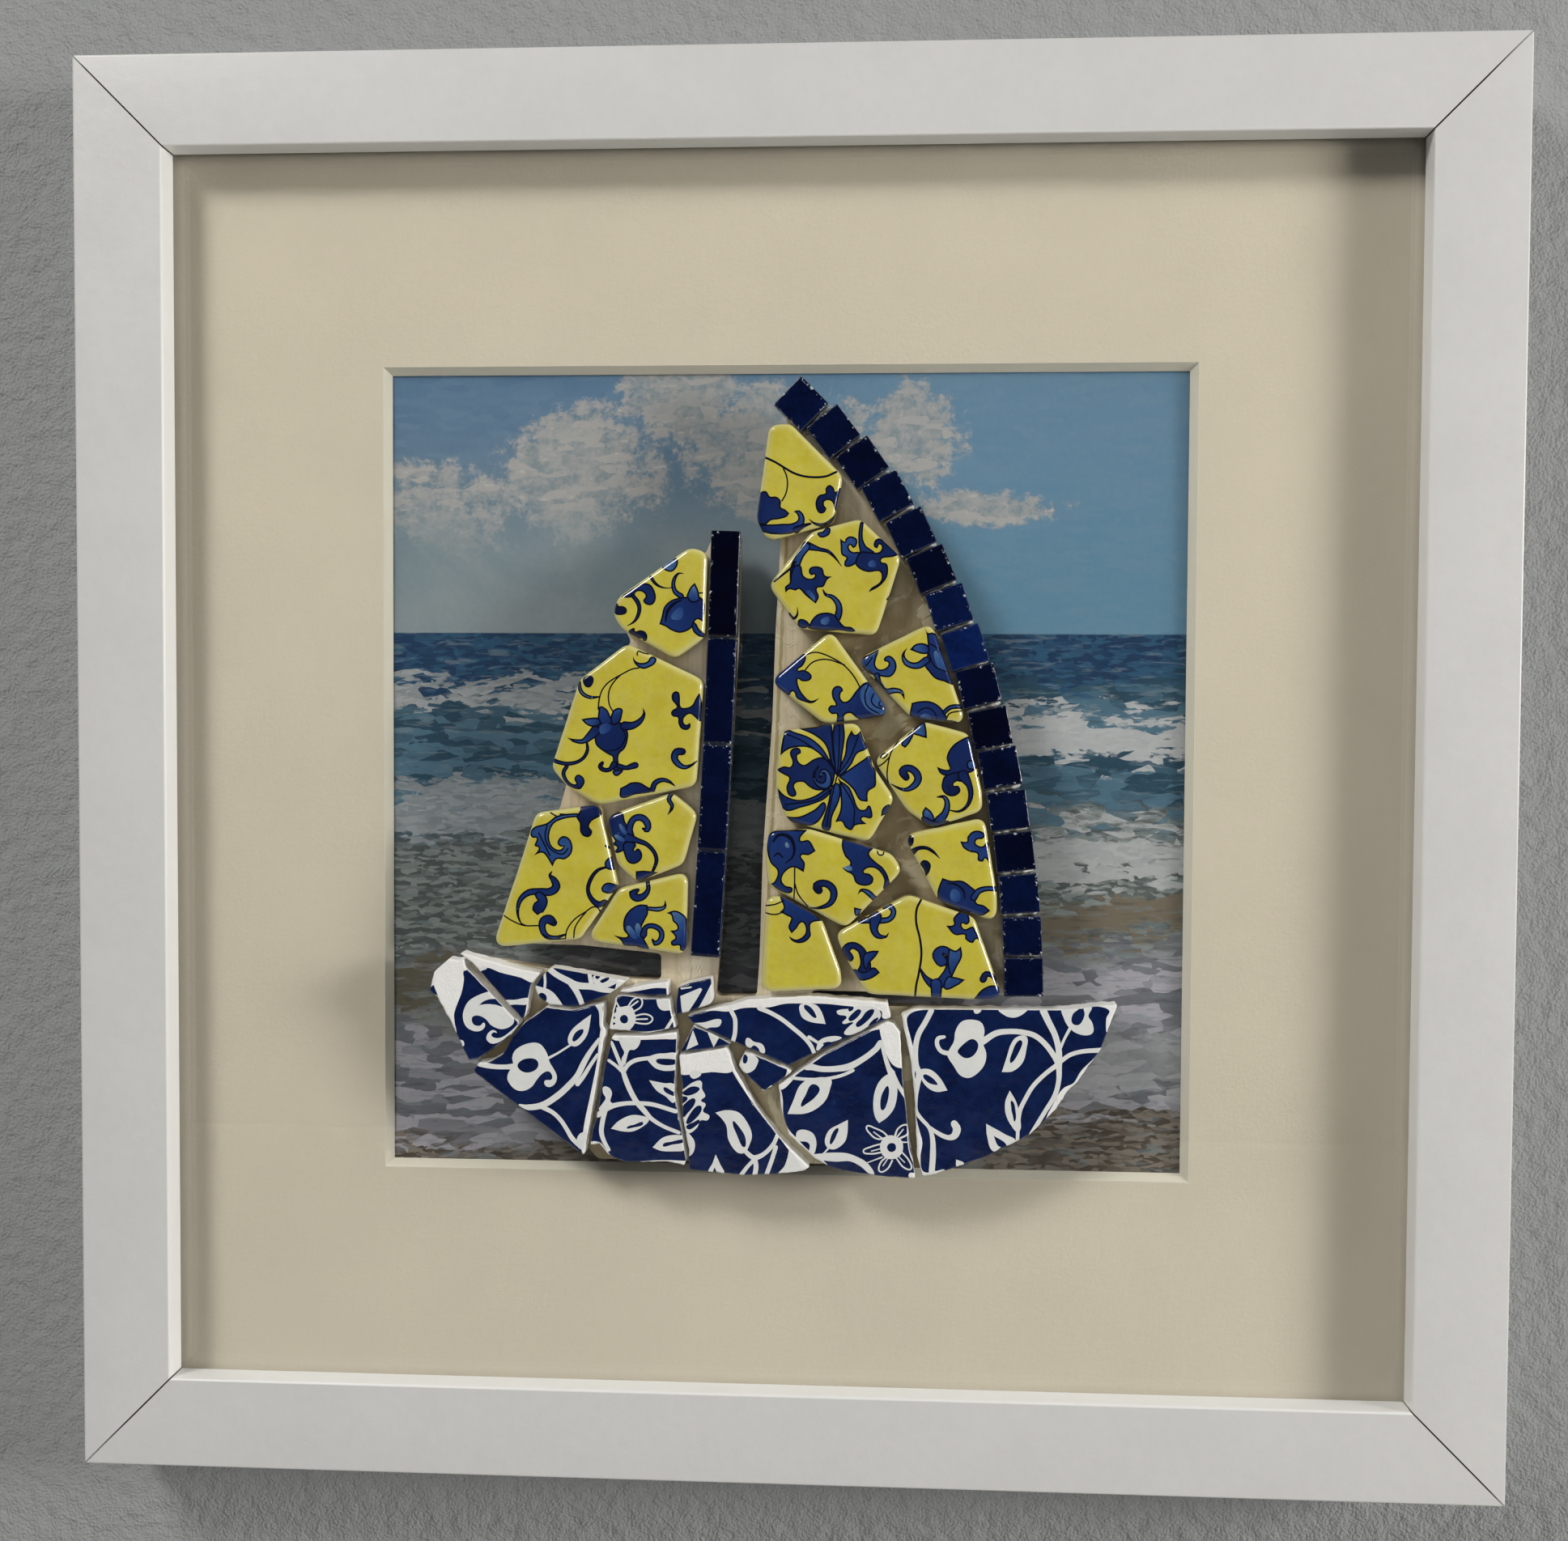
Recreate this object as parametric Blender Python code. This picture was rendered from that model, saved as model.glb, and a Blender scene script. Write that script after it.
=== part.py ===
"""A sailing boat in ceramic and glass mosaic, glued to the pane of a white picture frame that hangs on a wall.

The frame is four mitred rails. In their rebate lie, from front to back, a glass pane, a mat board with a
bevelled window, a printed sheet and a backing board with a toothed hanger. A plywood boat is glued to the
front of the glass, and glazed shards and small dark tiles are glued to the plywood.

Units are metres. The wall is on the +Y side, the picture looks towards -Y, and +Z is up.
The origin is the middle of the hanger's flat back face, where the wall's nail holds the picture.
"""

import math

import bmesh
import bpy
from mathutils import Matrix, Vector

# Frame rails
FRAME_WIDTH = 0.270
FRAME_HEIGHT = 0.270
RAIL_FACE = 0.0172        # width of a rail seen from the front
REBATE = 0.005            # how far the rebate cuts outwards behind the lip
LIP_DEPTH = 0.0054        # from the rail's front face back to the glass
LIP_ROUND = 0.001         # radius of the lip's front edge
OUTER_ROUND = 0.0008      # radius of the rail's outer front edge
MITRE_CRACK = 0.0003      # open joint between two rails

# Layers in the rebate
GLASS_THICK = 0.002
MAT_THICK = 0.0014
PRINT_THICK = 0.0003
BOARD_THICK = 0.003
RECESS_DEPTH = 0.005      # from the backing board back to the wall face of the rails
MAT_WINDOW = 0.155        # opening of the mat at its front face
LAYER_GAP = 0.0003        # between two layers that touch
EDGE_CLEARANCE = 0.0006   # between a layer's edge and the rebate

# Hanger
HANGER_LENGTH = 0.044
HANGER_HEIGHT = 0.009
HANGER_SHEET = 0.0008
HANGER_RAISE = 0.0018     # how far its middle is bent off the board
HANGER_FOOT = 0.006       # length of each flat end
HANGER_BEND = 0.0025      # length of each slope between foot and middle
HANGER_TEETH = 11
TOOTHLESS_END = 0.0025    # plain edge at each end of the raised middle
TOOTH_HEIGHT = 0.0015
HANGER_DROP = 0.021       # from the top of the frame down to the middle of the hanger

# Boat
BOAT_HEIGHT = 0.150
PLY_THICK = 0.003
PLY_CORNER = 0.0009
GLUE_GAP = 0.0003

# Glazed sail shards
SHARD_THICK = 0.0045
SHARD_CORNER = 0.0013     # corners worn round
SHARD_EDGE = 0.0009       # width of the rounded glaze edge
SHARD_EDGE_DEPTH = 0.0008

# Broken plate shards of the hull
PLATE_THICK = 0.0040
PLATE_EDGE = 0.0003
PLATE_EDGE_DEPTH = 0.0003

# Dark tiles
MAST_TILES = 4
MAST_TILE_THICK = 0.0038
MAST_JOINT = 0.0004
EDGE_TILES = 16
EDGE_TILE_THICK = 0.0040
EDGE_JOINT = 0.0009
TILE_EDGE = 0.0004

# Rounding of outlines
ARC_STEP = math.radians(32)
ROUND_STEP = math.radians(30)
FLAT_TURN = math.radians(8)   # a corner that turns less than this stays as it is
SIDE_SHARE = 0.45             # most of a side that one corner's arc may use

# Depths, from the hanger's flat back face at Y = 0 towards the viewer
BOARD_BACK = -(HANGER_SHEET + HANGER_RAISE + LAYER_GAP)
BOARD_FRONT = BOARD_BACK - BOARD_THICK
PRINT_BACK = BOARD_FRONT - LAYER_GAP
PRINT_FRONT = PRINT_BACK - PRINT_THICK
MAT_BACK = PRINT_FRONT - LAYER_GAP
MAT_FRONT = MAT_BACK - MAT_THICK
GLASS_BACK = MAT_FRONT - LAYER_GAP
GLASS_FRONT = GLASS_BACK - GLASS_THICK
RAIL_FRONT = GLASS_FRONT - LIP_DEPTH
RAIL_BACK = BOARD_BACK + RECESS_DEPTH
PLY_BACK = GLASS_FRONT - GLUE_GAP
PLY_FRONT = PLY_BACK - PLY_THICK
TILE_BACK = PLY_FRONT - GLUE_GAP

# Middle of the frame, seen from the front. The boat is drawn round the same point.
MIDDLE_Z = HANGER_DROP - FRAME_HEIGHT / 2

# The boat is drawn on a grid of 150 units over its height, X to the right and Z up.
BOAT_UNIT = BOAT_HEIGHT / 150
MAST_LENGTH = 79.6 * BOAT_UNIT
MAST_TILE_WIDTH = 5.5 * BOAT_UNIT
MAST_TILE_LENGTH = MAST_LENGTH / MAST_TILES - MAST_JOINT
EDGE_TILE_WIDTH = 7.3 * BOAT_UNIT

FORE_SAIL_SHARDS = (
    ((-14.0, 41.2), (-17.3, 41.9), (-30.6, 32.6), (-31.4, 29.6), (-29.8, 26.9), (-19.9, 21.5),
     (-14.4, 25.4)),
    ((-14.6, 17.4), (-28.8, 24.1), (-37.7, 17.4), (-43.0, 0.9), (-39.9, -2.5), (-34.4, -5.9),
     (-15.9, -2.2)),
    ((-54.2, -32.9), (-37.6, -31.1), (-30.5, -21.0), (-34.0, -5.9), (-45.9, -7.6), (-49.4, -18.6)),
    ((-20.3, -3.6), (-32.5, -8.1), (-30.5, -17.0), (-26.9, -20.3), (-18.3, -16.9), (-15.6, -7.5)),
    ((-17.4, -18.4), (-30.2, -21.6), (-36.4, -31.4), (-17.7, -33.8)),
)

MAIN_SAIL_SHARDS = (
    ((1.4, 64.7), (-2.4, 64.5), (-4.7, 47.0), (-2.6, 43.3), (9.4, 46.5), (11.1, 55.0)),
    ((14.3, 47.2), (5.4, 44.8), (-2.4, 35.0), (3.3, 27.1), (17.4, 25.9), (21.9, 40.1)),
    ((9.1, 26.6), (-2.0, 17.3), (7.9, 9.6), (20.4, 11.1)),
    ((27.6, 28.1), (13.9, 21.3), (24.0, 10.8), (34.2, 9.5)),
    ((14.2, 9.5), (8.5, 9.2), (-0.1, 8.0), (-0.9, -2.5), (1.2, -8.6), (16.3, -12.4), (21.0, -4.3),
     (17.4, 1.0)),
    ((34.6, 7.7), (26.2, 9.9), (17.3, 2.7), (23.5, -6.5), (28.0, -9.6), (37.3, -6.4), (37.0, -2.5)),
    ((5.3, -10.2), (-2.2, -10.6), (-2.7, -16.2), (-2.2, -20.7), (12.2, -28.4), (22.6, -17.6),
     (20.6, -14.7)),
    ((37.6, -7.8), (22.9, -11.1), (29.4, -23.2), (40.0, -27.1), (40.0, -21.9)),
    ((0.2, -22.8), (-2.6, -22.9), (-3.4, -40.6), (11.6, -39.7), (11.2, -36.5), (7.7, -27.0)),
    ((23.7, -22.2), (10.4, -29.5), (12.0, -33.5), (16.3, -40.7), (38.1, -41.5), (41.2, -41.1),
     (35.9, -26.3), (31.0, -24.7)),
)

HULL_SHARDS = (
    ((-49.3, -47.3), (-59.5, -36.9), (-59.8, -35.3), (-60.9, -35.7), (-62.7, -35.4), (-65.4, -37.8),
     (-66.2, -41.3), (-64.7, -42.6), (-62.3, -47.0), (-58.8, -54.3), (-57.0, -54.0), (-54.8, -52.7),
     (-51.0, -49.6)),
    ((-60.4, -34.2), (-57.9, -36.1), (-48.6, -46.4), (-48.2, -46.0), (-47.0, -39.9), (-45.3, -37.8),
     (-49.3, -37.1)),
    ((-28.9, -39.0), (-43.0, -36.7), (-45.0, -38.5), (-46.1, -40.4), (-45.2, -42.4), (-43.3, -43.6),
     (-39.5, -43.9), (-37.3, -43.6), (-32.3, -41.6)),
    ((-36.9, -72.0), (-32.9, -48.2), (-33.4, -47.6), (-33.2, -43.3), (-39.2, -44.8), (-44.1, -44.3),
     (-46.1, -45.9), (-48.0, -47.1), (-50.2, -49.7), (-52.2, -53.2), (-54.8, -54.8), (-56.8, -55.0),
     (-57.8, -56.2), (-57.5, -56.9)),
    ((-30.2, -41.0), (-25.0, -41.6), (-21.0, -41.5), (-21.1, -39.0), (-25.5, -39.7)),
    ((-30.8, -42.2), (-29.4, -41.8), (-25.1, -42.4), (-20.7, -42.3), (-20.4, -44.7), (-19.7, -47.6),
     (-24.6, -48.7), (-32.0, -48.1), (-31.4, -44.8)),
    ((-19.4, -48.6), (-24.9, -49.4), (-31.5, -49.5), (-33.0, -56.0), (-34.4, -65.1), (-35.1, -66.9),
     (-35.6, -70.1), (-33.9, -69.8), (-32.2, -71.8), (-30.5, -72.7), (-28.8, -73.2), (-21.1, -73.0),
     (-17.9, -73.6), (-17.6, -72.8), (-18.6, -66.3), (-19.9, -60.0)),
    ((-19.4, -45.2), (-16.5, -44.3), (-13.0, -43.0), (-12.7, -42.0), (-12.9, -38.3), (-16.5, -39.2),
     (-19.0, -40.1), (-19.4, -42.6)),
    ((-9.3, -50.6), (-13.1, -48.6), (-16.2, -47.5), (-18.4, -52.1), (-13.0, -51.4)),
    ((-17.2, -45.5), (-16.4, -46.6), (-8.8, -50.0), (-0.9, -53.2), (1.6, -54.4), (20.6, -45.0),
     (20.0, -42.4), (5.5, -41.4), (-5.8, -42.2), (-9.4, -43.4), (-12.5, -44.0)),
    ((2.2, -55.6), (-5.2, -52.5), (-6.5, -52.3), (-7.6, -54.5), (-6.9, -55.5), (-2.9, -59.4),
     (0.4, -57.1)),
    ((5.6, -73.6), (0.0, -68.2), (-4.6, -62.3), (-8.3, -55.6), (-10.0, -51.4), (-18.8, -53.0),
     (-18.2, -58.9), (-18.1, -64.8), (-16.9, -70.5), (-16.8, -74.4), (-7.0, -75.2), (-1.0, -74.9),
     (4.6, -74.2)),
    ((20.0, -46.0), (8.6, -52.1), (-0.1, -58.2), (0.5, -63.0), (1.9, -67.5), (6.6, -71.7), (9.2, -73.2),
     (12.2, -74.0), (19.4, -74.9), (25.4, -75.2), (24.0, -66.3), (22.9, -57.0), (22.4, -48.0),
     (21.3, -46.4)),
    ((62.4, -42.2), (51.5, -43.3), (24.9, -43.6), (22.8, -44.8), (24.7, -53.9), (25.5, -62.0),
     (25.9, -71.3), (26.9, -74.7), (29.2, -74.3), (38.2, -71.0), (46.3, -66.7), (51.7, -61.4),
     (53.4, -58.3), (55.1, -56.7), (59.5, -50.2)),
)

# Left side, mast and hull of the plywood, from the main sail's head down and round to the hull's right end.
# The sail's right edge follows the row of edge tiles.
PLY_SHEET = (
    (0.6, 68.0), (0.0, 55.0), (-0.8, 38.0), (-1.4, 26.5), (-1.9, 10.3), (-3.6, -15.2), (-4.1, -35.0),
    (-4.6, -42.2), (-12.3, -42.2), (-11.6, -33.5), (-8.4, 25.0), (-7.9, 44.6), (-13.2, 44.7),
    (-14.6, 41.3), (-17.3, 41.2), (-30.0, 32.3), (-30.6, 29.0), (-29.6, 26.6), (-28.6, 24.6),
    (-37.0, 17.2), (-42.3, 1.1), (-40.9, -2.0), (-42.3, -7.1), (-45.4, -7.9), (-48.9, -18.6),
    (-53.6, -32.6), (-37.9, -32.9), (-22.8, -34.3), (-22.8, -39.3), (-30.0, -39.2), (-43.0, -37.6),
    (-58.6, -35.4), (-62.4, -36.2), (-64.8, -38.2), (-65.4, -41.1), (-61.7, -46.8), (-58.2, -53.7),
    (-56.9, -56.2), (-37.0, -71.4), (-34.8, -73.8), (28.6, -74.0), (37.8, -70.4), (45.7, -66.1),
    (51.0, -61.0), (58.7, -50.0), (61.2, -43.2), (51.5, -43.9), (5.6, -43.6), (5.7, -40.9),
    (46.6, -41.3),
)

# Quarter ellipse that the middles of the edge tiles follow: centre, half axes, and the angles of its two ends
SAIL_CURVE_CENTRE = (-24.9, -42.3)
SAIL_CURVE_AXES = (70.1, 121.0)
SAIL_CURVE_TOP = math.radians(69.0)
SAIL_CURVE_BOTTOM = math.radians(0.5)
CURVE_STEPS = 400                  # steps in which the curve's length is measured
TILE_STAGGER = math.radians(8.0)   # how far the top tiles turn off the curve, each stepping outwards
TILE_WANDER = 0.25                 # share by which that turn varies from tile to tile
WANDER_PHASE = 2.4
PLY_BEYOND = 0.3                   # share of a tile's width that the plywood reaches past the curve

MAST_TOP = (-10.5, 45.0)
MAST_LEAN = math.radians(1.7)
MAST_LEAN_STEP = math.radians(0.6)


def clear_scene():
    for thing in list(bpy.data.objects):
        bpy.data.objects.remove(thing, do_unlink=True)


def material(name, colour, roughness, metallic=0.0):
    made = bpy.data.materials.new(name)
    made.use_nodes = True
    shader = made.node_tree.nodes["Principled BSDF"]
    shader.inputs["Base Color"].default_value = (*colour, 1.0)
    shader.inputs["Roughness"].default_value = roughness
    shader.inputs["Metallic"].default_value = metallic
    made.diffuse_color = (*colour, 1.0)
    return made


def add_object(name, mesh_data, finish):
    """Turns a bmesh into a named object whose faces point outwards."""
    bmesh.ops.recalc_face_normals(mesh_data, faces=mesh_data.faces)
    mesh = bpy.data.meshes.new(name)
    mesh_data.to_mesh(mesh)
    mesh_data.free()
    mesh.materials.append(finish)
    made = bpy.data.objects.new(name, mesh)
    bpy.context.scene.collection.objects.link(made)
    return made


def rounded(corners, radius):
    """The outline with each corner turned into an arc, which is kept within half of its shorter side."""
    outline = []
    count = len(corners)
    for index, corner in enumerate(corners):
        here = Vector(corner)
        to_last = Vector(corners[index - 1]) - here
        to_next = Vector(corners[(index + 1) % count]) - here
        opening = to_last.angle(to_next)
        turn = math.pi - opening
        reach = min(radius / math.tan(opening / 2), SIDE_SHARE * min(to_last.length, to_next.length))
        if turn < FLAT_TURN:
            outline.append(here)
            continue
        start = here + to_last.normalized() * reach
        end = here + to_next.normalized() * reach
        steps = max(1, round(turn / ARC_STEP))
        half = reach * math.tan(opening / 2)
        inward = (to_last.normalized() + to_next.normalized()).normalized()
        centre = here + inward * (reach / math.cos(opening / 2))
        first = start - centre
        sweep = first.angle_signed(end - centre)
        for step in range(steps + 1):
            angle = -sweep * step / steps
            spun = Vector((first.x * math.cos(angle) - first.y * math.sin(angle),
                           first.x * math.sin(angle) + first.y * math.cos(angle)))
            outline.append(centre + spun.normalized() * half)
    return outline


def slab(name, outline, back, front, finish, edge=0.0, edge_depth=0.0):
    """A flat piece between two depths. Its front edge slopes back by edge_depth over the width edge."""
    shape = bmesh.new()
    corners = [shape.verts.new((x, back, z)) for x, z in outline]
    base = shape.faces.new(corners)
    raised = bmesh.ops.extrude_face_region(shape, geom=[base])["geom"]
    shoulder = front + edge_depth
    for part in raised:
        if isinstance(part, bmesh.types.BMVert):
            part.co.y = shoulder
    if edge > 0:
        face = next(part for part in raised if isinstance(part, bmesh.types.BMFace))
        bmesh.ops.inset_region(shape, faces=[face], thickness=edge, use_even_offset=True)
        for corner in face.verts:
            corner.co.y = front
    return add_object(name, shape, finish)


def on_boat(points):
    """Points of the boat's grid, as X and Z in metres round the middle of the frame."""
    return [(x * BOAT_UNIT, MIDDLE_Z + z * BOAT_UNIT) for x, z in points]


def rectangle(width, height):
    return [(-width / 2, MIDDLE_Z - height / 2), (width / 2, MIDDLE_Z - height / 2),
            (width / 2, MIDDLE_Z + height / 2), (-width / 2, MIDDLE_Z + height / 2)]


def quarter_arc(centre, radius, start):
    """Points of a quarter turn, clockwise from the angle start."""
    angles = [start - ROUND_STEP * step for step in range(round(math.pi / 2 / ROUND_STEP) + 1)]
    return [(centre[0] + radius * math.cos(angle), centre[1] + radius * math.sin(angle)) for angle in angles]


def rail_profile():
    """A rail's section: distance in from the frame's outer edge, and depth Y."""
    seat = GLASS_FRONT - LAYER_GAP
    rebate_edge = RAIL_FACE - REBATE
    outer = quarter_arc((OUTER_ROUND, RAIL_FRONT + OUTER_ROUND), OUTER_ROUND, -math.pi / 2)
    inner = quarter_arc((RAIL_FACE - LIP_ROUND, RAIL_FRONT + LIP_ROUND), LIP_ROUND, 0.0)
    return inner + outer + [(0.0, RAIL_BACK), (rebate_edge, RAIL_BACK), (rebate_edge, seat), (RAIL_FACE, seat)]


def rail(name, length, reach, turn, finish):
    """A mitred rail. It is made along X at the top of the frame and turned about the frame's middle."""
    shape = bmesh.new()
    ends = []
    for side in (-1, 1):
        ring = []
        for inward, depth in rail_profile():
            half = length / 2 - inward - MITRE_CRACK / math.sqrt(2)
            ring.append(shape.verts.new((side * half, depth, reach - inward)))
        shape.faces.new(ring)
        ends.append(ring)
    count = len(ends[0])
    for index in range(count):
        after = (index + 1) % count
        shape.faces.new((ends[0][index], ends[0][after], ends[1][after], ends[1][index]))
    spin = Matrix.Translation((0, 0, MIDDLE_Z)) @ Matrix.Rotation(turn, 4, "Y")
    bmesh.ops.transform(shape, matrix=spin, verts=shape.verts)
    return add_object(name, shape, finish)


def mat_board(width, height, finish):
    """The mat: a sheet with a square window whose edge is bevelled at 45 degrees."""
    shape = bmesh.new()
    window_back = MAT_WINDOW - 2 * MAT_THICK
    loops = []
    for size, depth in ((None, MAT_FRONT), (MAT_WINDOW, MAT_FRONT), (window_back, MAT_BACK), (None, MAT_BACK)):
        outline = rectangle(width, height) if size is None else rectangle(size, size)
        loops.append([shape.verts.new((x, depth, z)) for x, z in outline])
    for first, second in zip(loops, loops[1:] + loops[:1]):
        for index in range(4):
            after = (index + 1) % 4
            shape.faces.new((first[index], first[after], second[after], second[index]))
    return add_object("mat_board", shape, finish)


def hanger_stations():
    """Places along the hanger: X, how far the sheet is bent off the board, and the height of its lower edge."""
    low = -HANGER_HEIGHT / 2
    foot = HANGER_LENGTH / 2 - HANGER_FOOT
    middle = foot - HANGER_BEND
    pitch = 2 * (middle - TOOTHLESS_END) / HANGER_TEETH
    teeth = []
    for index in range(2 * HANGER_TEETH + 1):
        x = (index - HANGER_TEETH) * pitch / 2
        teeth.append((x, HANGER_RAISE, low + (TOOTH_HEIGHT if index % 2 else 0.0)))
    left = [(-HANGER_LENGTH / 2, 0.0, low), (-foot, 0.0, low), (-middle, HANGER_RAISE, low)]
    right = [(-x, bend, height) for x, bend, height in reversed(left)]
    return left + teeth + right


def hanger(finish):
    """A strip of sheet metal with a raised middle and a toothed lower edge."""
    shape = bmesh.new()
    foot_front = BOARD_BACK + LAYER_GAP
    rings = []
    for x, bend, lower in hanger_stations():
        front = foot_front + bend
        back = front + HANGER_SHEET
        rings.append([shape.verts.new(place) for place in (
            (x, front, HANGER_HEIGHT / 2), (x, back, HANGER_HEIGHT / 2), (x, back, lower), (x, front, lower))])
    for first, second in zip(rings, rings[1:]):
        for index in range(4):
            after = (index + 1) % 4
            shape.faces.new((first[index], first[after], second[after], second[index]))
    shape.faces.new(rings[0])
    shape.faces.new(rings[-1])
    return add_object("sawtooth_hanger", shape, finish)


def curve_point(angle):
    """A point of the sail's curved edge and the direction down along it, on the boat's grid."""
    across, up = SAIL_CURVE_AXES
    place = Vector(SAIL_CURVE_CENTRE) + Vector((across * math.cos(angle), up * math.sin(angle)))
    return place, Vector((across * math.sin(angle), -up * math.cos(angle))).normalized()


def curve_places(count):
    """Middles of count equal steps along the sail's curve, each with its direction and its share of the way.

    The length of one step, on the boat's grid, comes second.
    """
    sweep = SAIL_CURVE_BOTTOM - SAIL_CURVE_TOP
    angles = [SAIL_CURVE_TOP + sweep * step / CURVE_STEPS for step in range(CURVE_STEPS + 1)]
    points = [curve_point(angle)[0] for angle in angles]
    reached = [0.0]
    for first, second in zip(points, points[1:]):
        reached.append(reached[-1] + (second - first).length)
    places = []
    for index in range(count):
        share = (index + 0.5) / count
        nearest = min(range(CURVE_STEPS + 1), key=lambda step: abs(reached[step] - share * reached[-1]))
        places.append((*curve_point(angles[nearest]), share))
    return places, reached[-1] / count


def tile(name, middle, direction, length, width, thick, finish):
    """A small tile whose length runs along direction."""
    along = direction.normalized()
    side = Vector((-along.y, along.x))
    corners = []
    for forward, sideways in ((1, 1), (1, -1), (-1, -1), (-1, 1)):
        place = middle + along * (forward * length / 2) + side * (sideways * width / 2)
        corners.append((place.x, place.y))
    return slab(name, corners, TILE_BACK, TILE_BACK - thick, finish, TILE_EDGE, TILE_EDGE)


def sail_edge_tiles(finish):
    places, step = curve_places(EDGE_TILES)
    length = step * BOAT_UNIT - EDGE_JOINT
    for index, (middle, direction, share) in enumerate(places):
        wander = TILE_WANDER * math.sin(WANDER_PHASE * index)
        turn = -TILE_STAGGER * (1 - share) * (1 + wander)
        turned = Vector((direction.x * math.cos(turn) - direction.y * math.sin(turn),
                         direction.x * math.sin(turn) + direction.y * math.cos(turn)))
        x, z = on_boat([middle])[0]
        tile(f"sail_edge_tile_{index + 1:02d}", Vector((x, z)), turned, length, EDGE_TILE_WIDTH,
             EDGE_TILE_THICK, finish)


def mast_tiles(finish):
    top = Vector(on_boat([MAST_TOP])[0])
    for index in range(MAST_TILES):
        lean = MAST_LEAN + MAST_LEAN_STEP * index
        down = Vector((-math.sin(lean), -math.cos(lean)))
        middle = top + down * MAST_TILE_LENGTH / 2
        tile(f"mast_tile_{index + 1}", middle, down, MAST_TILE_LENGTH, MAST_TILE_WIDTH, MAST_TILE_THICK,
             finish)
        top = top + down * (MAST_TILE_LENGTH + MAST_JOINT)


def plywood_boat(finish):
    """The boat's silhouette. Its right sail edge lies a little inside the outer edge of the tile row."""
    right_edge = []
    inset = EDGE_TILE_WIDTH / BOAT_UNIT * PLY_BEYOND
    for middle, direction, _ in reversed(curve_places(EDGE_TILES)[0]):
        outward = Vector((-direction.y, direction.x))
        right_edge.append(tuple(middle + outward * inset))
    outline = [(x, z) for x, z in on_boat(list(PLY_SHEET) + right_edge)]
    return slab("plywood_boat", rounded(outline, PLY_CORNER), PLY_BACK, PLY_FRONT, finish)


def shards(label, outlines, finish, thick, corner, edge, edge_depth):
    digits = 1 if len(outlines) < 10 else 2
    for index, corners in enumerate(outlines):
        outline = on_boat(corners)
        if corner > 0:
            outline = rounded(outline, corner)
        slab(f"{label}_{index + 1:0{digits}d}", outline, TILE_BACK, TILE_BACK - thick, finish, edge, edge_depth)


def main():
    clear_scene()
    white_paint = material("white_paint", (0.83, 0.83, 0.80), 0.42)
    clear_glass = material("clear_glass", (0.86, 0.92, 0.90), 0.04)
    cream_card = material("cream_card", (0.66, 0.62, 0.47), 0.85)
    printed_paper = material("printed_paper", (0.28, 0.33, 0.36), 0.55)
    brown_board = material("brown_board", (0.32, 0.20, 0.11), 0.80)
    birch_ply = material("birch_ply", (0.52, 0.43, 0.28), 0.70)
    yellow_glaze = material("yellow_glaze", (0.56, 0.50, 0.06), 0.16)
    blue_glaze = material("blue_glaze", (0.01, 0.025, 0.15), 0.15)
    dark_tile = material("dark_tile", (0.005, 0.007, 0.02), 0.22)
    zinc_steel = material("zinc_steel", (0.55, 0.54, 0.50), 0.38, 1.0)

    rail("top_rail", FRAME_WIDTH, FRAME_HEIGHT / 2, 0.0, white_paint)
    rail("right_rail", FRAME_HEIGHT, FRAME_WIDTH / 2, math.pi / 2, white_paint)
    rail("bottom_rail", FRAME_WIDTH, FRAME_HEIGHT / 2, math.pi, white_paint)
    rail("left_rail", FRAME_HEIGHT, FRAME_WIDTH / 2, -math.pi / 2, white_paint)

    inside = 2 * (RAIL_FACE - REBATE + EDGE_CLEARANCE)
    sheet_width = FRAME_WIDTH - inside
    sheet_height = FRAME_HEIGHT - inside
    sheet = rectangle(sheet_width, sheet_height)
    slab("glass_pane", sheet, GLASS_BACK, GLASS_FRONT, clear_glass)
    mat_board(sheet_width, sheet_height, cream_card)
    slab("printed_seascape", sheet, PRINT_BACK, PRINT_FRONT, printed_paper)
    slab("backing_board", sheet, BOARD_BACK, BOARD_FRONT, brown_board)
    hanger(zinc_steel)

    plywood_boat(birch_ply)
    mast_tiles(dark_tile)
    sail_edge_tiles(dark_tile)
    for label, outlines in (("fore_sail_shard", FORE_SAIL_SHARDS), ("main_sail_shard", MAIN_SAIL_SHARDS)):
        shards(label, outlines, yellow_glaze, SHARD_THICK, SHARD_CORNER, SHARD_EDGE, SHARD_EDGE_DEPTH)
    shards("hull_shard", HULL_SHARDS, blue_glaze, PLATE_THICK, 0.0, PLATE_EDGE, PLATE_EDGE_DEPTH)


main()
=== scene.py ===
"""Looks for a framed ceramic sailing boat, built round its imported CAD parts."""

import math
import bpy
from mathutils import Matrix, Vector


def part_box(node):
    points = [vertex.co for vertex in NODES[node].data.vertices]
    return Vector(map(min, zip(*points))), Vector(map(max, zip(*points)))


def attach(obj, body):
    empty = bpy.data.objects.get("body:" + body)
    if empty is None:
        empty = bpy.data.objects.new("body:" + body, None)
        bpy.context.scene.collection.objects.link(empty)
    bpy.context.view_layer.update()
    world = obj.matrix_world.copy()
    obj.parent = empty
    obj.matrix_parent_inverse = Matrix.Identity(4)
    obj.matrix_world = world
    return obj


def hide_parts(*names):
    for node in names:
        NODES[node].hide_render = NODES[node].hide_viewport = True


bl_info = {
    "name": "Ceramic Sailing Boat Picture",
    "version": (1, 0, 0),
    "blender": (4, 5, 0),
    "location": "3D View > Sidebar > Boat Picture",
    "description": "Builds the frame, the print, the plywood boat and its glazed shards",
    "category": "Object",
}

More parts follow.
